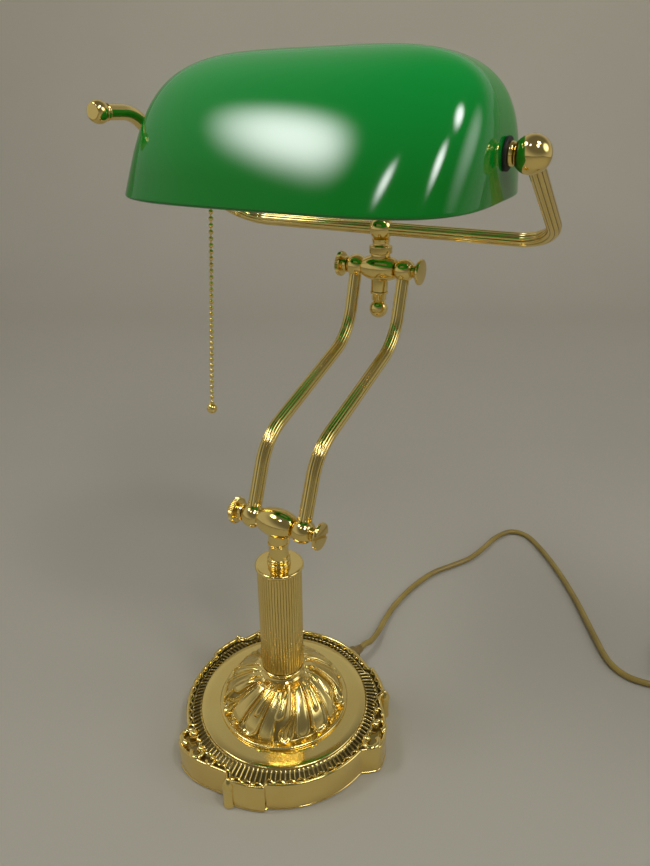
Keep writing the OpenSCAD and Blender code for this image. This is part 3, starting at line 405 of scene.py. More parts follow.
def makePlug(f):
    bm = bmesh.new()
    shape = [(-f["grip"], f["sleeve"]), (f["grip"], f["sleeve"]), (f["halfWide"], f["shoulder"]),
             (f["halfWide"], 1.0), (-f["halfWide"], 1.0), (-f["halfWide"], f["shoulder"])]
    place = Matrix.Translation((coilEnd.x, coilEnd.y + cordWay["leadLength"], 0))
    corners = [bm.verts.new(place @ Vector((x * mm, y * f["length"] * mm, 0))) for x, y in shape]
    face = bm.faces.new(corners)
    grown = bmesh.ops.extrude_face_region(bm, geom=[face])["geom"]
    verts = onlyVerts(grown)
    bmesh.ops.translate(bm, vec=(0, 0, 2 * f["halfThick"] * mm), verts=verts)
    bmesh.ops.bevel(bm, geom=list(bm.edges), offset=f["edge"] * mm, affect="EDGES", segments=4, profile=0.5,
                    material=-1)
    back = place @ at(0, 0, f["halfThick"]) @ turned(-90, "X")
    sleeve = [(0.0, 0.0), (cordWay["diameter"] / 2 / mm + 0.6, 0.0)]
    for k in range(5):
        low = 1.0 + 2.5 * k
        wide = 3.6 + 0.42 * k
        sleeve += [(wide + 0.5, low), (wide + 0.5, low + 1.4)]
        sleeve += [(wide - 0.2, low + 1.5), (wide - 0.2, low + 2.4)]
    end = f["sleeve"] * f["length"]
    sleeve += [(6.0, end), (0.0, end + 1.0)]
    turnOn(bm, softenProfile(sleeve, 0.3, 2), back, 40)
    body = makePiece("plugBody", bm, [cordSheath], "stand", ["plug_body"])
    bm = bmesh.new()
    for side in (-1, 1):
        pin = [(0, -1), (f["pinRadius"], -1), (f["pinRadius"], f["pinLength"]), (0, f["pinLength"])]
        tip = place @ at(side * f["pinApart"], f["length"], f["halfThick"]) @ turned(-90, "X")
        turnOn(bm, softenProfile(pin, 0.8, 3), tip, 32)
    pins = makePiece("plugPins", bm, [zincSteel], "stand", ["plug_pins"])
    return body, pins


plugBody, plugPins = makePlug(plugForm)
print("cord laid,", round(cordLength, 3), "m")

# Tapered strain relief at the back of the rim
glandForm = {"turn": 76.0, "height": 11.0, "rim": 78.1, "end": 96.0, "root": 7.4, "block": 88.5, "tip": 3.5}


def makeGland(f):
    place = at(0, 0, f["height"]) @ turned(f["turn"], "Z") @ turned(90, "Y")
    root, tip, block = f["root"], f["tip"], f["block"]
    face = f["rim"] - 0.1
    profile = [(5.0, 71.0), (7.0, 71.0), (7.0, 73.0), (5.0, 73.0), (5.0, face), (root, face)]
    for k in range(4):
        low = f["rim"] + 1.4 + 2.4 * k
        wide = root - 0.3 * k
        profile += [(wide, low), (wide - 0.4, low + 0.2), (wide - 0.4, low + 0.7), (wide - 0.2, low + 0.9)]
    profile += [(root - 1.3, block), (tip + 1.0, block + 1.0), (tip, f["end"]), (0, f["end"])]
    parts = [(softenProfile(profile, 0.25, 2), place)]
    turnedPiece("cordGland", parts, "stand", ["cord_gland"], amberPlastic, 48)


makeGland(glandForm)


# Base casting: turned profile, drawn out into the scroll lobes, pillars and bumps of the rim
baseForm = {
    "lobeOut": 10.0, "bumpOut": 4.5, "turn": -2.0, "steps": 1008, "ribs": 126,
    "ribIn": 66.4, "ribOut": 73.6, "ribDepth": 1.3, "lobeFrom": (72.0, 75.5), "bumpFrom": (67.0, 75.0),
    "troughIn": (72.2, 73.4), "troughOut": (74.9, 75.4), "topFrom": 20.0,
    "profile": [
        (72.0, 2.0), (74.2, 0.6), (77.0, 0.5), (77.7, 0.8), (78.0, 1.6), (78.0, 6.0), (78.0, 12.0),
        (78.0, 18.0), (78.0, 24.2), (77.9, 25.2), (77.5, 25.9), (76.9, 26.2), (76.2, 26.1), (75.6, 25.6),
        (75.2, 24.8), (75.0, 24.0), (74.6, 23.5), (74.0, 23.3), (73.4, 23.3), (72.8, 23.5), (72.2, 23.75),
        (71.5, 24.0), (70.8, 24.3), (70.0, 24.6), (69.2, 24.9), (68.4, 25.2), (67.7, 25.45), (67.0, 25.65),
        (66.4, 25.8), (66.0, 25.9), (65.8, 26.3), (65.7, 26.9), (65.4, 27.3), (64.9, 27.5), (60.0, 27.5),
        (55.0, 27.5), (48.0, 27.5), (42.0, 27.5), (42.0, 24.0)],
}


def smoothStep(low, high, x):
    t = min(max((x - low) / (high - low), 0), 1)
    return t * t * (3 - 2 * t)


def lobeAngle(f, degrees):
    return (degrees - f["turn"] + 780) % 120 - 60


def lobeOut(f, degrees):
    w = lobeAngle(f, degrees)
    if -10 < w <= 0:
        return f["lobeOut"] * math.cos(math.radians(9 * w)) ** 2
    if 0 < w < 34:
        return f["lobeOut"] * math.cos(math.radians(90 * w / 34)) ** 2
    return 0.0


def bumpOut(f, degrees):
    w = lobeAngle(f, degrees)
    if not 30 < w < 55:
        return 0.0
    taper = 1 - 0.35 * (w - 34) / 20
    return f["bumpOut"] * taper * smoothStep(31, 35, w) * (1 - smoothStep(53.6, 54.8, w))


def edgeOut(f, degrees):
    return max(lobeOut(f, degrees), bumpOut(f, degrees))


def setPaintedShade(piece, values):
    layer = piece.data.attributes.new("recessShade", "FLOAT", "POINT")
    layer.data.foreach_set("value", values)


def ribGap(f, degrees):
    wave = 0.5 + 0.5 * math.cos(math.radians(degrees * f["ribs"]))
    rib = round(degrees * f["ribs"] / 360.0) % f["ribs"]
    return 1 - smoothStep(0.55, 1.0, wave) * (0.82 + 0.18 * math.sin(rib * 12.9))


def ribBand(f, r):
    inner = smoothStep(f["ribIn"] - 0.2, f["ribIn"] + 0.8, r)
    return inner * (1 - smoothStep(f["ribOut"] - 1.6, f["ribOut"], r))


def makeBase(f):
    bm = bmesh.new()
    turnOn(bm, f["profile"], Matrix.Identity(4), f["steps"])
    bmesh.ops.remove_doubles(bm, verts=bm.verts, dist=mergeGap)
    dark = bm.verts.layers.float.new("recessShade")
    for v in bm.verts:
        r = math.hypot(v.co.x, v.co.y) / mm
        degrees = math.degrees(math.atan2(v.co.y, v.co.x))
        height = v.co.z / mm
        lobe = lobeOut(f, degrees)
        out = max(lobe * smoothStep(*f["lobeFrom"], r), bumpOut(f, degrees) * smoothStep(*f["bumpFrom"], r))
        if height > f["topFrom"]:
            gap = ribGap(f, degrees)
            band = ribBand(f, r)
            v.co.z -= f["ribDepth"] * gap * band * mm
            # painted shade over the rib band, deepest in the gaps between ribs, and in the trough inside
            # the lip
            trough = smoothStep(*f["troughIn"], r) * (1 - smoothStep(*f["troughOut"], r))
            v[dark] = max((0.22 + 0.75 * gap) * band, (0.97 - 0.035 * lobe) * trough)
        grow = (r + out) / r
        v.co.x *= grow
        v.co.y *= grow
    brassPiece("baseCasting", bm, "stand", ["base_casting"], 50)


makeBase(baseForm)

# Scrolls on each lobe, a pilaster with a bud beside it, the wavy string inside the lip
# and the bead at the foot
scrollForm = {
    "high": 25.0, "cuts": 48,
    "curls": [
        {"offset": -1.6, "reach": 78.5, "big": 7.6, "small": 2.8, "from": 60.0, "sweep": -260.0,
         "thick": 2.3, "ball": 3.2},
        {"offset": 11.2, "reach": 79.6, "big": 5.2, "small": 3.0, "from": -60.0, "sweep": 260.0,
         "thick": 2.0, "ball": 2.8},
        {"offset": 20.5, "reach": 76.8, "big": 3.6, "small": 1.8, "from": -60.0, "sweep": 260.0,
         "thick": 1.3, "ball": 1.8}],
    "pilaster": {"offset": 34.8, "reach": 81.7, "profile": [
        (0, 0.6), (4.4, 0.6), (4.7, 1.5), (4.3, 2.5), (4.2, 18.0), (4.6, 19.5), (4.6, 20.5), (4.0, 22.5),
        (2.8, 25.0), (1.1, 27.2), (0, 27.6)]},
}
stringForm = {"waves": 63, "reach": 74.3, "swing": 1.05, "rock": 0.25, "high": 25.5, "thick": 0.52,
              "cuts": 8, "facets": 8}
footForm = {"reach": 77.6, "high": 1.3, "thick": 0.8, "cuts": 504, "facets": 10}


def ringSection(radius, count):
    angles = [math.tau * k / count for k in range(count)]
    return [(radius * math.cos(a), radius * math.sin(a)) for a in angles]


def alongPoints(points, sizes):
    places = []
    last = len(points) - 1
    for i, p in enumerate(points):
        heading = (points[min(i + 1, last)] - points[max(i - 1, 0)]).normalized()
        side = Vector((0, 0, 1)).cross(heading).normalized()
        up = heading.cross(side)
        turn = Matrix((side, up, heading)).transposed().to_4x4()
        places.append(Matrix.Translation(p) @ turn @ Matrix.Scale(sizes[i], 4))
    return places


def addCurl(bm, place, c, cuts):
    points, sizes = [], []
    for k in range(cuts + 1):
        t = k / cuts
        r = c["big"] + (c["small"] - c["big"]) * t ** 0.8
        a = math.radians(c["from"] + c["sweep"] * t)
        points.append(place @ Vector((r * math.cos(a) * mm, r * math.sin(a) * mm, (0.6 + 1.1 * t) * mm)))
        sizes.append(1.0 - 0.25 * t)
    sweepAlong(bm, ringSection(c["thick"], 12), alongPoints(points, sizes))
    bmesh.ops.create_uvsphere(bm, u_segments=28, v_segments=18, radius=c["ball"] * mm,
                              matrix=Matrix.Translation(points[-1]))


def makeScrolls(f, b):
    bm = bmesh.new()
    for third in range(3):
        middle = b["turn"] + 120 * third
        for curl in f["curls"]:
            place = turned(middle + curl["offset"], "Z") @ at(curl["reach"], 0, f["high"])
            addCurl(bm, place, curl, f["cuts"])
        p = f["pilaster"]
        place = turned(middle + p["offset"], "Z") @ at(p["reach"], 0, 0)
        turnOn(bm, softenProfile(p["profile"], 0.5, 3), place, 40)
    brassPiece("baseScrolls", bm, "stand")


def makeString(f, b):
    bm = bmesh.new()
    points = []
    count = f["waves"] * f["cuts"]
    for k in range(count):
        a = math.tau * k / count
        r = f["reach"] + f["swing"] * math.cos(a * f["waves"]) + bumpOut(b, math.degrees(a))
        z = f["high"] + f["rock"] * math.sin(a * f["waves"])
        points.append(Vector((r * math.cos(a), r * math.sin(a), z)) * mm)
    points.append(points[0])
    sweepAlong(bm, ringSection(f["thick"], f["facets"]), alongPoints(points, [1.0] * len(points)))
    brassPiece("baseString", bm, "stand")


def makeFootBead(f, b):
    bm = bmesh.new()
    points = []
    for k in range(f["cuts"] + 1):
        a = math.tau * k / f["cuts"]
        r = f["reach"] + edgeOut(b, math.degrees(a))
        points.append(Vector((r * math.cos(a), r * math.sin(a), f["high"])) * mm)
    sweepAlong(bm, ringSection(f["thick"], f["facets"]), alongPoints(points, [1.0] * len(points)))
    brassPiece("baseFootBead", bm, "stand")


makeScrolls(scrollForm, baseForm)
makeString(stringForm, baseForm)
makeFootBead(footForm, baseForm)
print("base cast")

# Dome with five groups of swirling leaves: a hooked one with a vein, a plain, a rimmed and a small spoon,
# and buds. Across is in degrees from the group's hook, up is in degrees along the dome's profile.
domeForm = {
    "foot": 27.5, "low": 30.1, "radius": 45.6, "rise": 31.4, "fullness": 1.65, "upTo": 64.0, "steps": 900,
    "rows": 92, "groups": 5, "turn": -54.0, "swirl": 13.0, "swirlAt": 61.0, "high": 2.4,
    "hook": {"head": -2.7, "stem": 3.0, "half": 8.8, "narrow": 3.5, "start": 2.0, "lift": 1.1},
    "leaves": [
        {"middle": 14.0, "half": 8.2, "start": 5.0, "pillow": 0.70, "rim": 0.28},
        {"middle": 32.8, "half": 10.4, "start": 1.5, "pillow": 0.12, "rim": 0.95},
        {"middle": 50.0, "half": 7.0, "start": -2.0, "pillow": 0.75, "rim": 0.22}],
    "buds": [
        {"middle": -13.5, "lean": 5.0, "half": 7.2, "from": 29.0, "to": 63.0, "lift": 1.1},
        {"middle": 33.0, "lean": 0.5, "half": 4.4, "from": 28.5, "to": 64.0, "lift": 0.95},
        {"middle": -18.5, "lean": 1.0, "half": 3.4, "from": 47.0, "to": 64.0, "lift": 0.9},
        {"middle": -14.3, "lean": -3.0, "half": 2.5, "from": -4.0, "to": 34.0, "lift": 0.9}],
}
ground = -0.5  # level between the leaves, as a share of their height


def spoonDepth(f, across, half, start, up):
    reach = 1.2 * half * f["radius"] / f["rise"]
    below = max(0.0, start + reach - up) / reach
    return math.hypot(across / half, below)


def edgeBead(u, where, wide):
    return math.exp(-((u - where) / wide) ** 2)


def hookHeight(f, h, across, up):
    turnIn = smoothStep(16.0, 34.0, up)
    half = h["half"] + (h["narrow"] - h["half"]) * turnIn
    across -= h["head"] + (h["stem"] - h["head"]) * turnIn
    u = spoonDepth(f, across, half, h["start"], up)
    if u >= 1:
        return ground
    vein = 0.70 * edgeBead(across / half, 0.0, 0.24)
    return h["lift"] * (0.05 + 0.90 * edgeBead(u, 0.78, 0.16) + vein - 0.6 * smoothStep(0.9, 1.0, u))


def budHeight(k, across, up):
    along = (up - k["from"]) / (k["to"] - k["from"])
    if not 0 < along < 1:
        return ground
    across -= k["middle"] + k["lean"] * along
    ending = max(0.0, 1 - along / 0.22)
    u = math.hypot(across / (k["half"] * (1 - 0.4 * along)), ending)
    if u >= 1:
        return ground
    return k["lift"] * math.sqrt(1 - u * u) * (1 - smoothStep(0.5, 1.0, along)) + 0.1


def leafHeight(f, degrees, up):
    group = 360.0 / f["groups"]
    best = ground
    swirl = f["swirl"] * (up / f["swirlAt"]) ** 2
    for shift in (-group, 0.0, group):
        across = (degrees - f["turn"] - swirl) % group + shift
        best = max(best, hookHeight(f, f["hook"], across, up))
        for k in f["leaves"]:
            u = spoonDepth(f, across - k["middle"], k["half"], k["start"], up)
            if u < 1:
                height = k["pillow"] * math.sqrt(1 - u ** 4) + k["rim"] * edgeBead(u, 0.83, 0.13)
                best = max(best, height - 0.5 * smoothStep(0.92, 1.0, u))
        for k in f["buds"]:
            best = max(best, budHeight(k, across, up))
    return best


def makeDome(f):
    bm = bmesh.new()
    foot = f["foot"]
    profile = [(44.0, foot), (50.4, foot), (51.0, foot + 0.6), (51.0, foot + 1.4), (50.5, foot + 2.1),
               (49.6, foot + 2.4), (48.6, foot + 2.2), (47.6, foot + 2.3)]
    power = 2 / f["fullness"]
    profile += [(max(x, 0) ** power * f["radius"], f["low"] + max(y, 0) ** power * f["rise"])
                for x, y in arc(0, 0, 1.0, 0, f["upTo"], f["rows"])]
    profile.append((5.2, profile[-1][1]))
    turnOn(bm, profile, Matrix.Identity(4), f["steps"])
    piece = brassPiece("baseDome", bm, "stand", ["base_dome"], 60, castBrass)
    values = []
    for v in piece.data.vertices:
        r = math.hypot(v.co.x, v.co.y) / mm
        above = v.co.z / mm - f["low"]
        high = max(above, 0) / f["rise"]
        wide = r / f["radius"]
        up = math.degrees(math.atan2(high ** (1 / power), wide ** (1 / power)))
        shade = 0.0
        if above > -0.01 and r > 10.0:
            degrees = math.degrees(math.atan2(v.co.y, v.co.x))
            lift = leafHeight(f, degrees, up)
            fade = smoothStep(-0.5, 2.0, up) * (1 - smoothStep(0.86 * f["upTo"], f["upTo"], up))
            move = f["high"] * fade * (lift + 0.2)
            slope = f["fullness"] - 1
            out = Vector((wide ** slope / f["radius"], high ** slope / f["rise"])).normalized() * move
            v.co.x *= (r + out.x) / r
            v.co.y *= (r + out.x) / r
            v.co.z += out.y * mm
            # painted shade on the low ground between the leaves
            shade = 0.6 * fade * (1 - smoothStep(ground, -0.1, lift))
        values.append(shade)
    setPaintedShade(piece, values)


makeDome(domeForm)
print("dome chased")

# Column with fine reeds, between its bead ring and disc
columnForm = {"low": 67.0, "high": 157.0, "radius": 16.3, "reeds": 48, "groove": 0.5, "cuts": 8}


def reededSection(radius, reeds, groove, cuts):
    points = []
    for k in range(reeds * cuts):
        a = math.tau * k / (reeds * cuts)
        # the third value of each point is painted shade in the grooves between the reeds
        swell = abs(math.cos(a * reeds / 2)) ** 0.55
        r = radius - groove + groove * swell
        points.append((r * math.cos(a), r * math.sin(a), 0.85 * max(0.0, 1 - swell / 0.62)))
    return points


def makeColumn(f):
    bm = bmesh.new()
    section = reededSection(f["radius"], f["reeds"], f["groove"], f["cuts"])
    sweepAlong(bm, section, walk(at(0, 0, f["low"]), [("go", f["high"] - f["low"])]))
    brassPiece("column", bm, "stand", ["column"], 50, drawnBrass)


makeColumn(columnForm)
standTurning = {
    "columnFootRing": ("column_foot_ring", [
        (5.0, 57.5), (16.7, 57.7), (15.4, 58.6), (14.7, 59.8), (14.6, 62.0), (15.1, 63.2), (16.5, 63.8),
        (17.3, 64.3), (17.5, 65.0), (17.3, 65.6), (16.7, 66.0), (15.4, 66.0), (15.4, 67.0), (5.0, 67.0)]),
    "columnCap": ("column_cap", [
        (5.0, 152.0), (13.4, 152.0), (13.4, 157.0), (16.8, 157.0), (17.5, 157.4), (17.7, 158.2),
        (17.7, 159.0), (17.3, 159.7), (16.6, 160.0), (5.0, 160.0)]),
    "neck": ("neck", [
        (5.0, 160.0), (8.3, 160.0), (8.6, 160.9), (8.3, 161.8), (7.5, 162.0), (7.5, 163.6), (8.1, 163.9),
        (8.3, 164.8), (8.0, 165.7), (7.2, 166.1), (7.1, 167.0), (7.1, 176.8), (7.6, 177.2), (7.8, 177.8),
        (7.6, 178.4), (7.1, 178.5), (4.0, 178.5), (4.0, 184.4), (0, 184.4)]),
}
for pieceName, (node, profile) in standTurning.items():
    turnedPiece(pieceName, [(softenProfile(profile, 0.35), Matrix.Identity(4))], "stand", [node])
print("column turned")

# Cross joints: barrel bodies, balls with flats, a screw head on the right and a knurled thumb screw
# on the left. A stub is a radius and its two ends.
jointForm = {"gap": 20.6, "ball": 8.8, "flat": 7.2, "bodyRadius": 10.6, "bodyEnd": 7.4, "bodyHalf": 13.2,
             "bore": 3.1, "face": 28.0, "head": 9.8, "neck": 4.6, "disc": 2.6, "knurls": 44,
             "knurlDeep": 0.055, "slot": (2.3, 26.0, 3.0), "slotTurn": -22.0,
             "lower": (0, 194.0), "upper": (157.353, 341.411),
             "stubs": {"lower": [(7.1, -15.5, -6.0)], "upper": [(6.7, -18.1, -6.0), (7.5, 6.0, 11.2)]}}


def barrelProfile(f):
    bore, half = f["bore"], f["bodyHalf"]
    rise = f["bodyRadius"] - f["bodyEnd"]
    radius = (half ** 2 + rise ** 2) / (2 * rise)
    tip = math.degrees(math.asin(half / radius)) * 0.985
    edge = f["bodyEnd"] - 0.3
    swell = arc(f["bodyRadius"] - radius, 0, radius, -tip, tip, 40)
    return [(bore, -half), (edge, -half)] + swell + [(edge, half), (bore, half)]


def ballProfile(f):
    bore, flat = f["bore"], f["flat"]
    tip = math.degrees(math.asin(flat / f["ball"]))
    edge = f["ball"] * math.cos(math.radians(tip)) - 0.2
    swell = arc(0, 0, f["ball"], -tip * 0.99, tip * 0.99, 40)
    return [(bore, -flat), (edge, -flat)] + swell + [(edge, flat), (bore, flat)]


def headProfile(f):
    low, head = f["face"], f["head"]
    disc = low + f["neck"]
    top = disc + f["disc"]
    return [(3.0, 7.0), (3.0, low), (4.9, low), (5.2, low + 1.4), (6.6, low + 3.2), (9.0, disc),
            (head - 0.3, disc + 0.2), (head, disc + 0.7), (head, top - 0.7), (head - 0.4, top - 0.1),
            (head - 1.0, top), (0, top)]


def thumbProfile(f, nub):
    low, head = f["face"], f["head"]
    disc = low + f["neck"]
    profile = [(3.0, 7.0), (3.0, low), (5.8, low), (6.3, low + 0.5), (6.4, low + 1.8), (6.2, low + 3.0),
               (5.5, low + 3.5), (5.4, disc - 0.3), (6.2, disc), (8.8, disc), (head, disc + 0.6),
               (head, disc + 1.8), (head, disc + 3.0), (8.9, disc + 3.64)]
    if nub:
        profile += [(6.8, disc + 3.7), (5.6, disc + 3.9), (4.6, disc + 4.4), (3.7, disc + 4.6)]
        return profile + arc(0, disc + 6.0, 3.6, -8, 90, 12)
    return profile + [(7.6, disc + 3.6), (6.0, disc + 3.3), (3.0, disc + 3.2), (0, disc + 3.2)]


def makeJoint(f, label, bodyName, armsBody, thumbBody, slotted):
    y, z = f[label]
    middle = at(0, y, z)
    parts = [(barrelProfile(f), middle @ toRight)]
    for r, low, high in f["stubs"][label]:
        parts.append((softenProfile([(0, low), (r, low), (r, high), (0, high)], 0.3), middle))
    turnedPiece(label + "PivotBody", parts, bodyName, [label + "_pivot_body"])
    for side, word in bothSides:
        ball = [(ballProfile(f), at(side * f["gap"], y, z) @ toRight)]
        turnedPiece(label + "Ball" + word.capitalize(), ball, armsBody, [label + "_ball_" + word])
    screw = turnedPiece(label + "Screw", [(headProfile(f), middle @ toRight)], bodyName, [label + "_screw"])
    if slotted:
        cutSlot(screw, middle @ toRight @ turned(f["slotTurn"], "Z"), f)
    bm = bmesh.new()
    turnOn(bm, thumbProfile(f, slotted), middle @ toLeft, f["knurls"] * 4)
    bmesh.ops.remove_doubles(bm, verts=bm.verts, dist=mergeGap)
    for v in bm.verts:
        d = v.co - middle.translation
        r = math.hypot(d.y, d.z)
        if r > (f["head"] - 0.3) * mm:
            a = math.atan2(d.z, d.y)
            shrink = 1 - f["knurlDeep"] * (0.5 + 0.5 * math.cos(a * f["knurls"]))
            v.co.y = middle.translation.y + d.y * shrink
            v.co.z = middle.translation.z + d.z * shrink
    brassPiece(label + "ThumbScrew", bm, thumbBody, [label + "_thumb_screw"], 30)


def cutSlot(screw, place, f):
    bm = bmesh.new()
    top = f["face"] + f["neck"] + f["disc"]
    box = place @ at(0, 0, top) @ Matrix.Diagonal((*f["slot"], 1))
    bmesh.ops.create_cube(bm, size=mm, matrix=box)
    cutter = addObject("slotCutter", meshFrom(bm, "slotCutter"))
    cut = screw.modifiers.new("slot", "BOOLEAN")
    cut.object = cutter
    cut.solver = "EXACT"
    bpy.context.view_layer.update()
    graph = bpy.context.evaluated_depsgraph_get()
    done = bpy.data.meshes.new_from_object(screw.evaluated_get(graph))
    screw.modifiers.clear()
    screw.data = done
    bpy.data.objects.remove(cutter)


makeJoint(jointForm, "lower", "stand", "arms", "lower_thumb", True)
makeJoint(jointForm, "upper", "head", "arms", "upper_thumb", False)
print("cross joints assembled")

# Reeded tubes: two bent arms and the two sides of the yoke
tubeForm = {"radius": 5.0, "reeds": 10, "groove": 0.55, "cuts": 12, "seat": 5.0}
armForm = {"leg": 56.0, "long": 129.5, "lean": 21.5, "lowerBend": 50.0, "upperBend": 57.0,
           "bendRadius": 40.0}
yokeForm = {"half": 128.5, "side": 112.5, "lean": 58.0, "splay": 2.0, "bendRadius": 28.0, "seat": 4.5,
            "y": 157.353, "z": 371.411}


def makeTube(name, body, node, t, start, moves):
    bm = bmesh.new()
    sweepAlong(bm, reededSection(t["radius"], t["reeds"], t["groove"], t["cuts"]), walk(start, moves))
    brassPiece(name, bm, body, [node], 50)


def makeArm(name, node, side, f, t):
    cutLow = f["bendRadius"] * math.tan(math.radians(f["lowerBend"] / 2))
    cutHigh = f["bendRadius"] * math.tan(math.radians(f["upperBend"] / 2))
    foot = at(side * jointForm["gap"], 0, jointForm["lower"][1]) @ turned(-f["lean"], "X")
    moves = [("go", f["leg"] - cutLow - t["seat"]), ("bend", f["bendRadius"], f["lowerBend"]),
             ("go", f["long"] - cutLow - cutHigh), ("bend", f["bendRadius"], -f["upperBend"]),
             ("go", f["leg"] - cutHigh - t["seat"])]
    makeTube(name, "arms", node, t, foot @ at(0, 0, t["seat"]), moves)


def makeYokeSide(name, node, side, f, t):
    middle = at(0, f["y"], f["z"]) @ turned(f["lean"], "X")
    start = middle @ turned(90 * side, "Z") @ turned(90, "X") @ at(0, 0, f["seat"])
    splay = math.radians(f["splay"])
    corner = f["half"] + f["side"] * math.tan(splay)
    trim = f["bendRadius"] * math.tan(math.pi / 4 + splay / 2)
    moves = [("go", corner - trim - f["seat"]), ("bend", f["bendRadius"], 90.0 + f["splay"]),
             ("go", f["side"] / math.cos(splay) - trim - t["seat"])]
    makeTube(name, "yoke", node, t, start, moves)


makeArm("armLeft", "arm_left", -1, armForm, tubeForm)
makeArm("armRight", "arm_right", 1, armForm, tubeForm)
makeYokeSide("yokeLeft", "yoke_left", -1, yokeForm, tubeForm)
makeYokeSide("yokeRight", "yoke_right", 1, yokeForm, tubeForm)

# Swivel: collar, middle ball and finial
swivelForm = {"y": 157.353, "z": 341.411, "rise": 30.0, "ball": 9.4, "drop": 32.5, "finial": 7.4}


def makeSwivel(f):
    middle = at(0, f["y"], f["z"])
    collar = [(4.1, 11.4), (8.4, 11.4), (9.0, 11.8), (9.0, 16.8), (8.6, 17.4), (7.6, 17.6), (6.5, 17.8),
              (6.4, 19.4), (6.9, 21.2), (7.4, 22.3), (4.1, 22.4)]
    turnedPiece("swivelCollar", [(softenProfile(collar, 0.4), middle)], "yoke", ["swivel_collar"])
    rise = f["rise"]
    ball = [(0.0, rise - f["ball"])] + arc(0, rise, f["ball"], -89, 89, 48) + [(0.0, rise + f["ball"])]
    turnedPiece("yokeBall", [(ball, middle)], "yoke", ["yoke_ball"])
    drop = -f["drop"]
    knob = [(0.0, drop - f["finial"])] + arc(0, drop, f["finial"], -89, 52, 36)
    knob += [(5.2, -25.6), (5.8, -24.8), (5.8, -20.6), (6.2, -20.0), (7.0, -19.8), (7.2, -19.2),
             (7.0, -18.5), (6.4, -18.3), (4.1, -18.3)]
    turnedPiece("finial", [(knob, middle)], "yoke", ["finial"])


makeSwivel(swivelForm)

# Pivot balls of the shade, the handle and its knob
pivotForm = {"half": 128.5, "y": 61.948, "z": 431.027, "ball": 10.4, "flat": 9.0}
handleForm = {"rise": 42.0, "radius": 4.8, "seat": 7.4, "foot": 20.0, "bendRadius": 27.0, "end": 17.8,
              "knob": 7.0}


def makePivots(f):
    tip = math.degrees(math.asin(f["flat"] / f["ball"]))
    edge = f["ball"] * math.cos(math.radians(tip))
    profile = [(4.1, f["flat"]), (edge - 0.3, f["flat"])]
    profile += arc(0, 0, f["ball"], tip * 0.985, -89, 56) + [(0, -f["ball"])]
    for side, word in bothSides:
        place = at(side * f["half"], f["y"], f["z"]) @ turned(-90 * side, "Y")
        turnedPiece("pivotBall" + word.capitalize(), [(profile, place)], "yoke", ["pivot_ball_" + word])


def makeHandle(f, p):
    ball = at(-p["half"], p["y"], p["z"])
    start = ball @ turned(90, "Z") @ turned(f["rise"] - 90, "Y") @ turned(90, "Z") @ at(0, 0, f["seat"])
    moves = [("go", f["foot"] - f["seat"]), ("bend", f["bendRadius"], f["rise"]), ("go", f["end"])]
    places = walk(start, moves, 24)
    bm = bmesh.new()
    sweepAlong(bm, ringSection(f["radius"], 40), places)
    brassPiece("headHandle", bm, "yoke", ["head_handle"])
    knob = [(4.7, -4.8), (5.2, -4.7), (5.4, -4.2), (5.2, -3.7), (5.0, -3.4)]
    knob += arc(0, 2.0, f["knob"], -46, 43, 30) + [(4.8, 6.9), (4.2, 7.0), (0, 7.05)]
    turnedPiece("handleKnob", [(knob, places[-1])], "yoke", ["handle_knob"])


makePivots(pivotForm)
makeHandle(handleForm, pivotForm)
print("yoke fitted")

# Glass shade: rounded box in plan, arched across its depth, with a rolled rim
shadeForm = {"glass": 114.5, "halfDeep": 84.0, "high": 79.5, "wall": 3.0, "pivotUp": 25.2, "tilt": 1.0,
             "corner": 4.05, "endRound": 4.1, "arch": 1.75, "upTo": 88.6, "around": 216, "rows": 60,
             "rim": 1.1}
shadePlace = at(0, pivotForm["y"], pivotForm["z"]) @ turned(shadeForm["tilt"], "X")


def signedPower(value, power):
    return math.copysign(abs(value) ** power, value)


def makeShade(f):
    bm = bmesh.new()
    bmesh.ops.create_grid(bm, x_segments=f["around"], y_segments=f["rows"], size=0.5)
    halfLong = f["glass"] / (1 - (f["pivotUp"] / f["high"]) ** f["endRound"]) ** (1 / f["endRound"])
    for v in bm.verts:
        a = math.tau * (v.co.x + 0.5)
        t = math.sin(math.radians(f["upTo"] * (v.co.y + 0.5)))
        wide = (1 - t ** f["endRound"]) ** (1 / f["endRound"])
        deep = (1 - t) ** (1 / f["arch"])
        x = halfLong * wide * signedPower(math.cos(a), 2 / f["corner"])
        y = f["halfDeep"] * deep * signedPower(math.sin(a), 2 / f["corner"])
        z = f["high"] * t - f["pivotUp"]
        v.co = shadePlace @ Vector((x * mm, y * mm, z * mm))
    bmesh.ops.remove_doubles(bm, verts=bm.verts, dist=mergeGap)
    openEdges = [e for e in bm.edges if e.is_boundary]
    middleHigh = (shadePlace @ Vector((0, 0, 20 * mm))).z
    bmesh.ops.contextual_create(bm, geom=[e for e in openEdges if e.verts[0].co.z > middleHigh])
    glass = [greenGlass, insideGlass]
    piece = makePiece("glassShade", bm, glass, "shade", ["glass_shade"], 60)
    wall = piece.modifiers.new("wall", "SOLIDIFY")
    wall.thickness = f["wall"] * mm
    wall.offset = -1.0
    wall.use_even_offset = True
    wall.material_offset = 1
    wall.material_offset_rim = 0
    rim = piece.modifiers.new("rim", "BEVEL")
    rim.width = f["rim"] * mm
    rim.segments = 4
    rim.limit_method = "ANGLE"
    rim.angle_limit = math.radians(60)


makeShade(shadeForm)

# What holds the shade, and the lampholder inside it
axisForm = {"glass": 114.5, "wall": 3.0, "washer": 2.0, "washerRadius": 9.0, "ringRadius": 6.4,
            "hole": 4.05, "ball": 119.3}


def washerProfile(f, low):
    hole, r, high = f["hole"], f["washerRadius"], low + f["washer"]
    return softenProfile([(hole, low), (r, low), (r, high), (hole, high), (hole, low)], 0.6, 4)


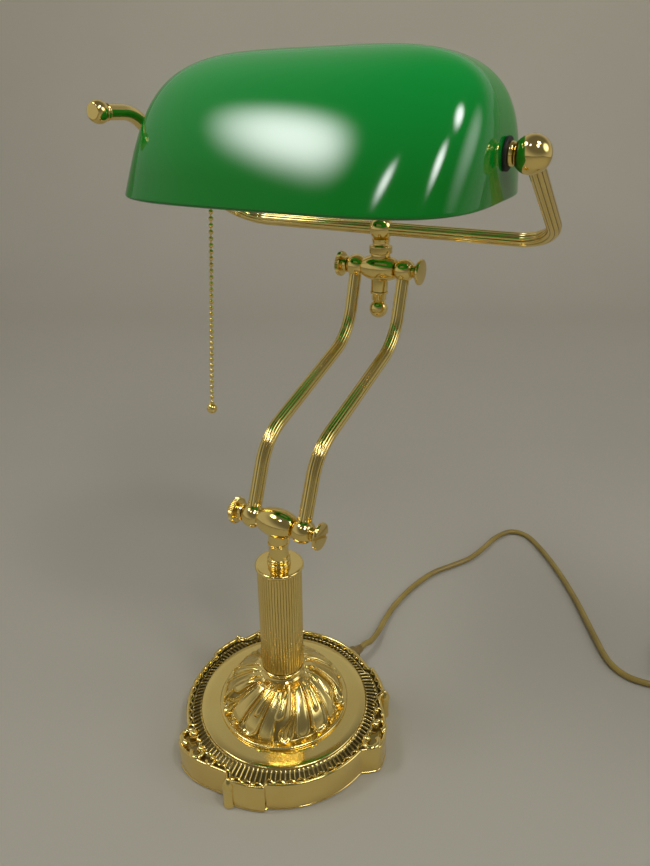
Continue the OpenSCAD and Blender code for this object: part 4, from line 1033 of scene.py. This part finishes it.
def makeAxis(f):
    places = [shadePlace @ toLeft, shadePlace @ toRight]
    bm = bmesh.new()
    for place in places:
        for low in (f["glass"], f["glass"] - f["wall"] - f["washer"]):
            turnOn(bm, washerProfile(f, low), place, 72)
    makePiece("rubberWashers", bm, [blackRubber], "shade", ["rubber_washers"])
    hole, r, ball = f["hole"], f["ringRadius"], f["ball"]
    low = f["glass"] + f["washer"]
    ring = [(hole, low), (r, low), (r + 0.2, low + 0.8), (r, ball - 0.6), (5.8, ball), (hole, ball)]
    parts = [(softenProfile(ring, 0.35, 3), place) for place in places]
    turnedPiece("spacerRings", parts, "shade", ["spacer_rings"], steps=72)


makeAxis(axisForm)
holderForm = {"capOut": 106.0, "socketOut": 88.0, "mouth": 54.0, "radius": 18.0, "ribs": 6, "bulb": 15.0,
              "bulbLong": 92.0}


def makeHolder(f):
    place = shadePlace @ toLeft
    out, join, mouth, radius = f["capOut"], f["socketOut"], f["mouth"], f["radius"]
    cap = [(4.05, out), (8.4, out), (9.2, out - 1.0), (10.0, out - 4.0), (13.0, out - 9.0),
           (16.6, out - 13.0), (17.8, out - 16.0), (radius, join), (4.05, join)]
    turnedPiece("lampholderCap", [(softenProfile(cap, 1.2, 4), place)], "shade", ["lampholder_cap"])
    socket = [(4.0, join), (17.4, join), (radius, join - 1.0)]
    for k in range(f["ribs"]):
        low = join - 16.0 - 2.6 * k
        socket += [(radius, low), (17.3, low - 0.5), (17.3, low - 1.5), (radius, low - 2.0)]
    socket += [(radius, mouth + 0.8), (17.2, mouth), (13.6, mouth), (13.1, mouth + 0.6),
               (13.1, mouth + 20.0)]
    parts = [(softenProfile(socket, 0.3, 2), place)]
    turnedPiece("lampholderSocket", parts, "shade", ["lampholder_socket"], blackMoulding)
    r = f["bulb"]
    bulb = [(12.8, mouth + 2.0), (13.0, mouth - 1.0), (13.6, mouth - 5.0), (14.6, mouth - 11.0),
            (r, mouth - 16.0)]
    tip = mouth - f["bulbLong"] + r
    bulb += [(r, tip + 30.0), (r, tip)] + arc(0, tip, r, -4, -90, 20)
    turnedPiece("bulb", [(bulb, place)], "shade", ["bulb"], opalGlass)


makeHolder(holderForm)
outletForm = {"x": -61.0, "out": 31.0}


def makeOutlet(f):
    arm = [(0, 17.6), (5.0, 17.6), (5.0, 18.6), (3.6, 19.4), (3.4, 22.0), (3.4, 28.0), (3.6, 29.0)]
    arm += arc(0, f["out"], 3.6, -30, 89, 16)
    bell = [(0, 0.0), (3.0, 0.0), (3.2, -1.0), (3.1, -3.0), (3.4, -5.0), (4.2, -7.0), (4.7, -7.8),
            (4.5, -8.0), (3.6, -7.6), (1.6, -6.6), (1.4, -4.0), (0, -3.9)]
    armPlace = shadePlace @ at(f["x"], 0, 0) @ turned(90, "X")
    bellPlace = shadePlace @ at(f["x"], -f["out"], 0)
    parts = [(softenProfile(arm, 0.3, 2), armPlace), (softenProfile(bell, 0.3, 2), bellPlace)]
    turnedPiece("switchOutlet", parts, "shade", ["switch_outlet"], steps=48)


makeOutlet(outletForm)

# Bead chain and the ball on its end
chainForm = {"x": -61.0, "y": 31.092, "z": 422.487, "lean": 5.0, "top": -1.9, "bead": 1.6, "pitch": 4.25,
             "count": 39, "wire": 0.55, "ball": 4.0}


def makeChain(f):
    place = at(f["x"], f["y"], f["z"]) @ turned(f["lean"], "Y")
    bm = bmesh.new()
    for k in range(f["count"]):
        spot = place @ at(0, 0, f["top"] - f["bead"] - f["pitch"] * k)
        bmesh.ops.create_uvsphere(bm, u_segments=14, v_segments=10, radius=f["bead"] * mm, matrix=spot)
        if k < f["count"] - 1:
            wire = spot @ at(0, 0, -f["pitch"] / 2)
            bmesh.ops.create_cone(bm, cap_ends=True, segments=8, radius1=f["wire"] * mm,
                                  radius2=f["wire"] * mm, matrix=wire,
                                  depth=(f["pitch"] - 2 * f["bead"] + 0.6) * mm)
    brassPiece("pullChain", bm, "chain", ["pull_chain"])
    length = f["pitch"] * (f["count"] - 1) + 2 * f["bead"]
    low = f["top"] - length - f["ball"] + 0.6
    ball = [(0, low - f["ball"])] + arc(0, low, f["ball"], -89, 66, 32)
    ball += [(1.9, low + 3.8), (1.7, low + 4.3), (0, low + 4.3)]
    turnedPiece("pullBall", [(ball, place)], "chain", ["pull_ball"], steps=48)


makeChain(chainForm)
print("shade and chain hung")

# CAD nodes that show as they are
keptNodes = {
    "base_weight": castIron, "base_felt": feltCloth, "tie_rod": zincSteel, "tie_rod_nut": zincSteel,
    "tie_rod_washer": zincSteel, "swivel_stem": zincSteel, "spindle_left": polishedBrass,
    "spindle_right": polishedBrass, "lock_nuts": polishedBrass, "bulb_base": zincSteel,
    "pull_link": polishedBrass, "cord_tie": blackRubber,
}
for node, material in keptNodes.items():
    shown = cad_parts[node]
    shown.data.materials.clear()
    shown.data.materials.append(material)

# Floor and backdrop in one sweep of grey paper
stageForm = {"floor": -0.0002, "back": 1.9, "front": -3.0, "half": 3.0, "bend": 0.7, "high": 1.3,
             "paleFrom": 0.5, "paler": 1.5, "tone": (0.478, 0.447, 0.372), "darker": 0.96}


def makeStage(f):
    bm = bmesh.new()
    line = [(f["front"], 0.0), (f["back"] - f["bend"], 0.0)]
    line += arc(f["back"] - f["bend"], f["bend"], f["bend"], -85, 0, 16)
    line.append((f["back"], f["high"]))
    tilt = turned(view["turn"], "Z")
    ring = [bm.verts.new(tilt @ Vector((-f["half"], y, z + f["floor"]))) for y, z in line]
    edges = [bm.edges.new(pair) for pair in zip(ring, ring[1:])]
    grown = bmesh.ops.extrude_edge_only(bm, edges=edges)["geom"]
    verts = onlyVerts(grown)
    bmesh.ops.translate(bm, vec=tilt @ Vector((2 * f["half"], 0, 0)), verts=verts)
    bmesh.ops.recalc_face_normals(bm, faces=bm.faces)
    for face in bm.faces:
        face.smooth = True
    mesh = meshFrom(bm, "paperSweep")
    mat, tree, bsdf = newMaterial("greyPaper")
    low = [c * f["darker"] for c in f["tone"]]
    tone = ramp(tree, objectNoise(tree, 2.5, 4.0), [(0.3, low), (0.7, f["tone"])])
    # painted light: the paper is painted paler towards the back and up the backdrop, standing in for light
    # falling there
    place = addNode(tree, "TexCoord", {}, "Object")
    turn = (0, 0, -math.radians(view["turn"]))
    place = addNode(tree, "Mapping", {"Vector": place, "Rotation": turn}, "Vector")
    away = addNode(tree, "SeparateXYZ", {"Vector": place}, "Y")
    depth = mapRange(tree, away, (f["paleFrom"], f["back"]), (1.0, f["paler"]))
    paler = addNode(tree, "VectorMath", {"Vector": tone, "Scale": depth}, "Vector", operation="SCALE")
    fillInputs(tree, bsdf, {"Base Color": paler, "Roughness": 0.75})
    mesh.materials.append(mat)
    sweep = addObject("paperSweep", mesh)


makeStage(stageForm)

# Soft light: lamps that fade towards their edges, the broadest as a pale wall at the right,
# and a room that is paler low down, at the back and at the left
lampForm = [
    {"name": "mainLamp", "place": (-0.80, -0.46, 1.74), "aim": (0.02, 0.0, 0.44), "size": (1.02, 0.64),
     "watts": 23.0},
    {"name": "rightHigh", "place": (0.87, -0.19, 1.84), "aim": (0.1, 0.02, 0.45), "size": (0.48, 0.68),
     "watts": 18.0},
    {"name": "rightLow", "place": (0.93, -0.67, 1.61), "aim": (0.1, 0.0, 0.43), "size": (0.41, 0.60),
     "watts": 12.0},
    {"name": "frontSmall", "place": (-0.085, -0.92, 1.73), "aim": (0.075, -0.01, 0.42),
     "size": (0.21, 0.42), "watts": 3.8},
    {"name": "rightWall", "place": (2.1, 0.5, 1.5), "aim": (0.1, 0.06, 0.30), "size": (2.2, 2.0),
     "watts": 34.0},
]
roomForm = {"pale": (0.42, 0.41, 0.38), "dim": (0.13, 0.128, 0.12), "edge": 0.5, "soft": 0.32,
            "backUp": 0.55, "leftUp": 0.25}


def fadeLamp(data):
    data.use_nodes = True
    tree = data.node_tree
    inputs = {0: addNode(tree, "NewGeometry", {}, "Parametric"), 1: (0.5, 0.5, 0.0)}
    middle = addNode(tree, "VectorMath", inputs, "Value", operation="DISTANCE")
    fade = mapRange(tree, middle, (0.0, 0.5), (1.0, 0.0), "SMOOTHERSTEP")
    fillInputs(tree, tree.nodes["Emission"], {"Strength": fade})


def makeLamps(lamps):
    for f in lamps:
        data = bpy.data.lights.new(f["name"], "AREA")
        data.shape = "ELLIPSE"
        data.size, data.size_y = f["size"]
        data.energy = f["watts"]
        fadeLamp(data)
        lamp = addObject(f["name"], data)
        lamp.location = f["place"]
        heading = Vector(f["aim"]) - Vector(f["place"])
        lamp.rotation_euler = heading.to_track_quat("-Z", "Y").to_euler()


def makeRoom(room):
    world = bpy.data.worlds.new("room")
    world.use_nodes = True
    tree = world.node_tree
    turn = math.radians(view["turn"])
    back, left = room["backUp"], room["leftUp"]
    lean = (back * math.sin(turn) + left * math.cos(turn),
            left * math.sin(turn) - back * math.cos(turn), 1.0)
    inputs = {0: addNode(tree, "TexCoord", {}, "Generated"), 1: lean}
    height = addNode(tree, "VectorMath", inputs, "Value", operation="DOT_PRODUCT")
    span = (room["edge"] - room["soft"], room["edge"] + room["soft"])
    blend = mapRange(tree, height, span, kind="SMOOTHSTEP")
    tone = mixColour(tree, blend, (*room["pale"], 1), (*room["dim"], 1))
    fillInputs(tree, tree.nodes["Background"], {"Color": tone})
    scene.world = world


makeLamps(lampForm)
makeRoom(roomForm)
scene.view_settings.view_transform = "Standard"
print("stage lit")
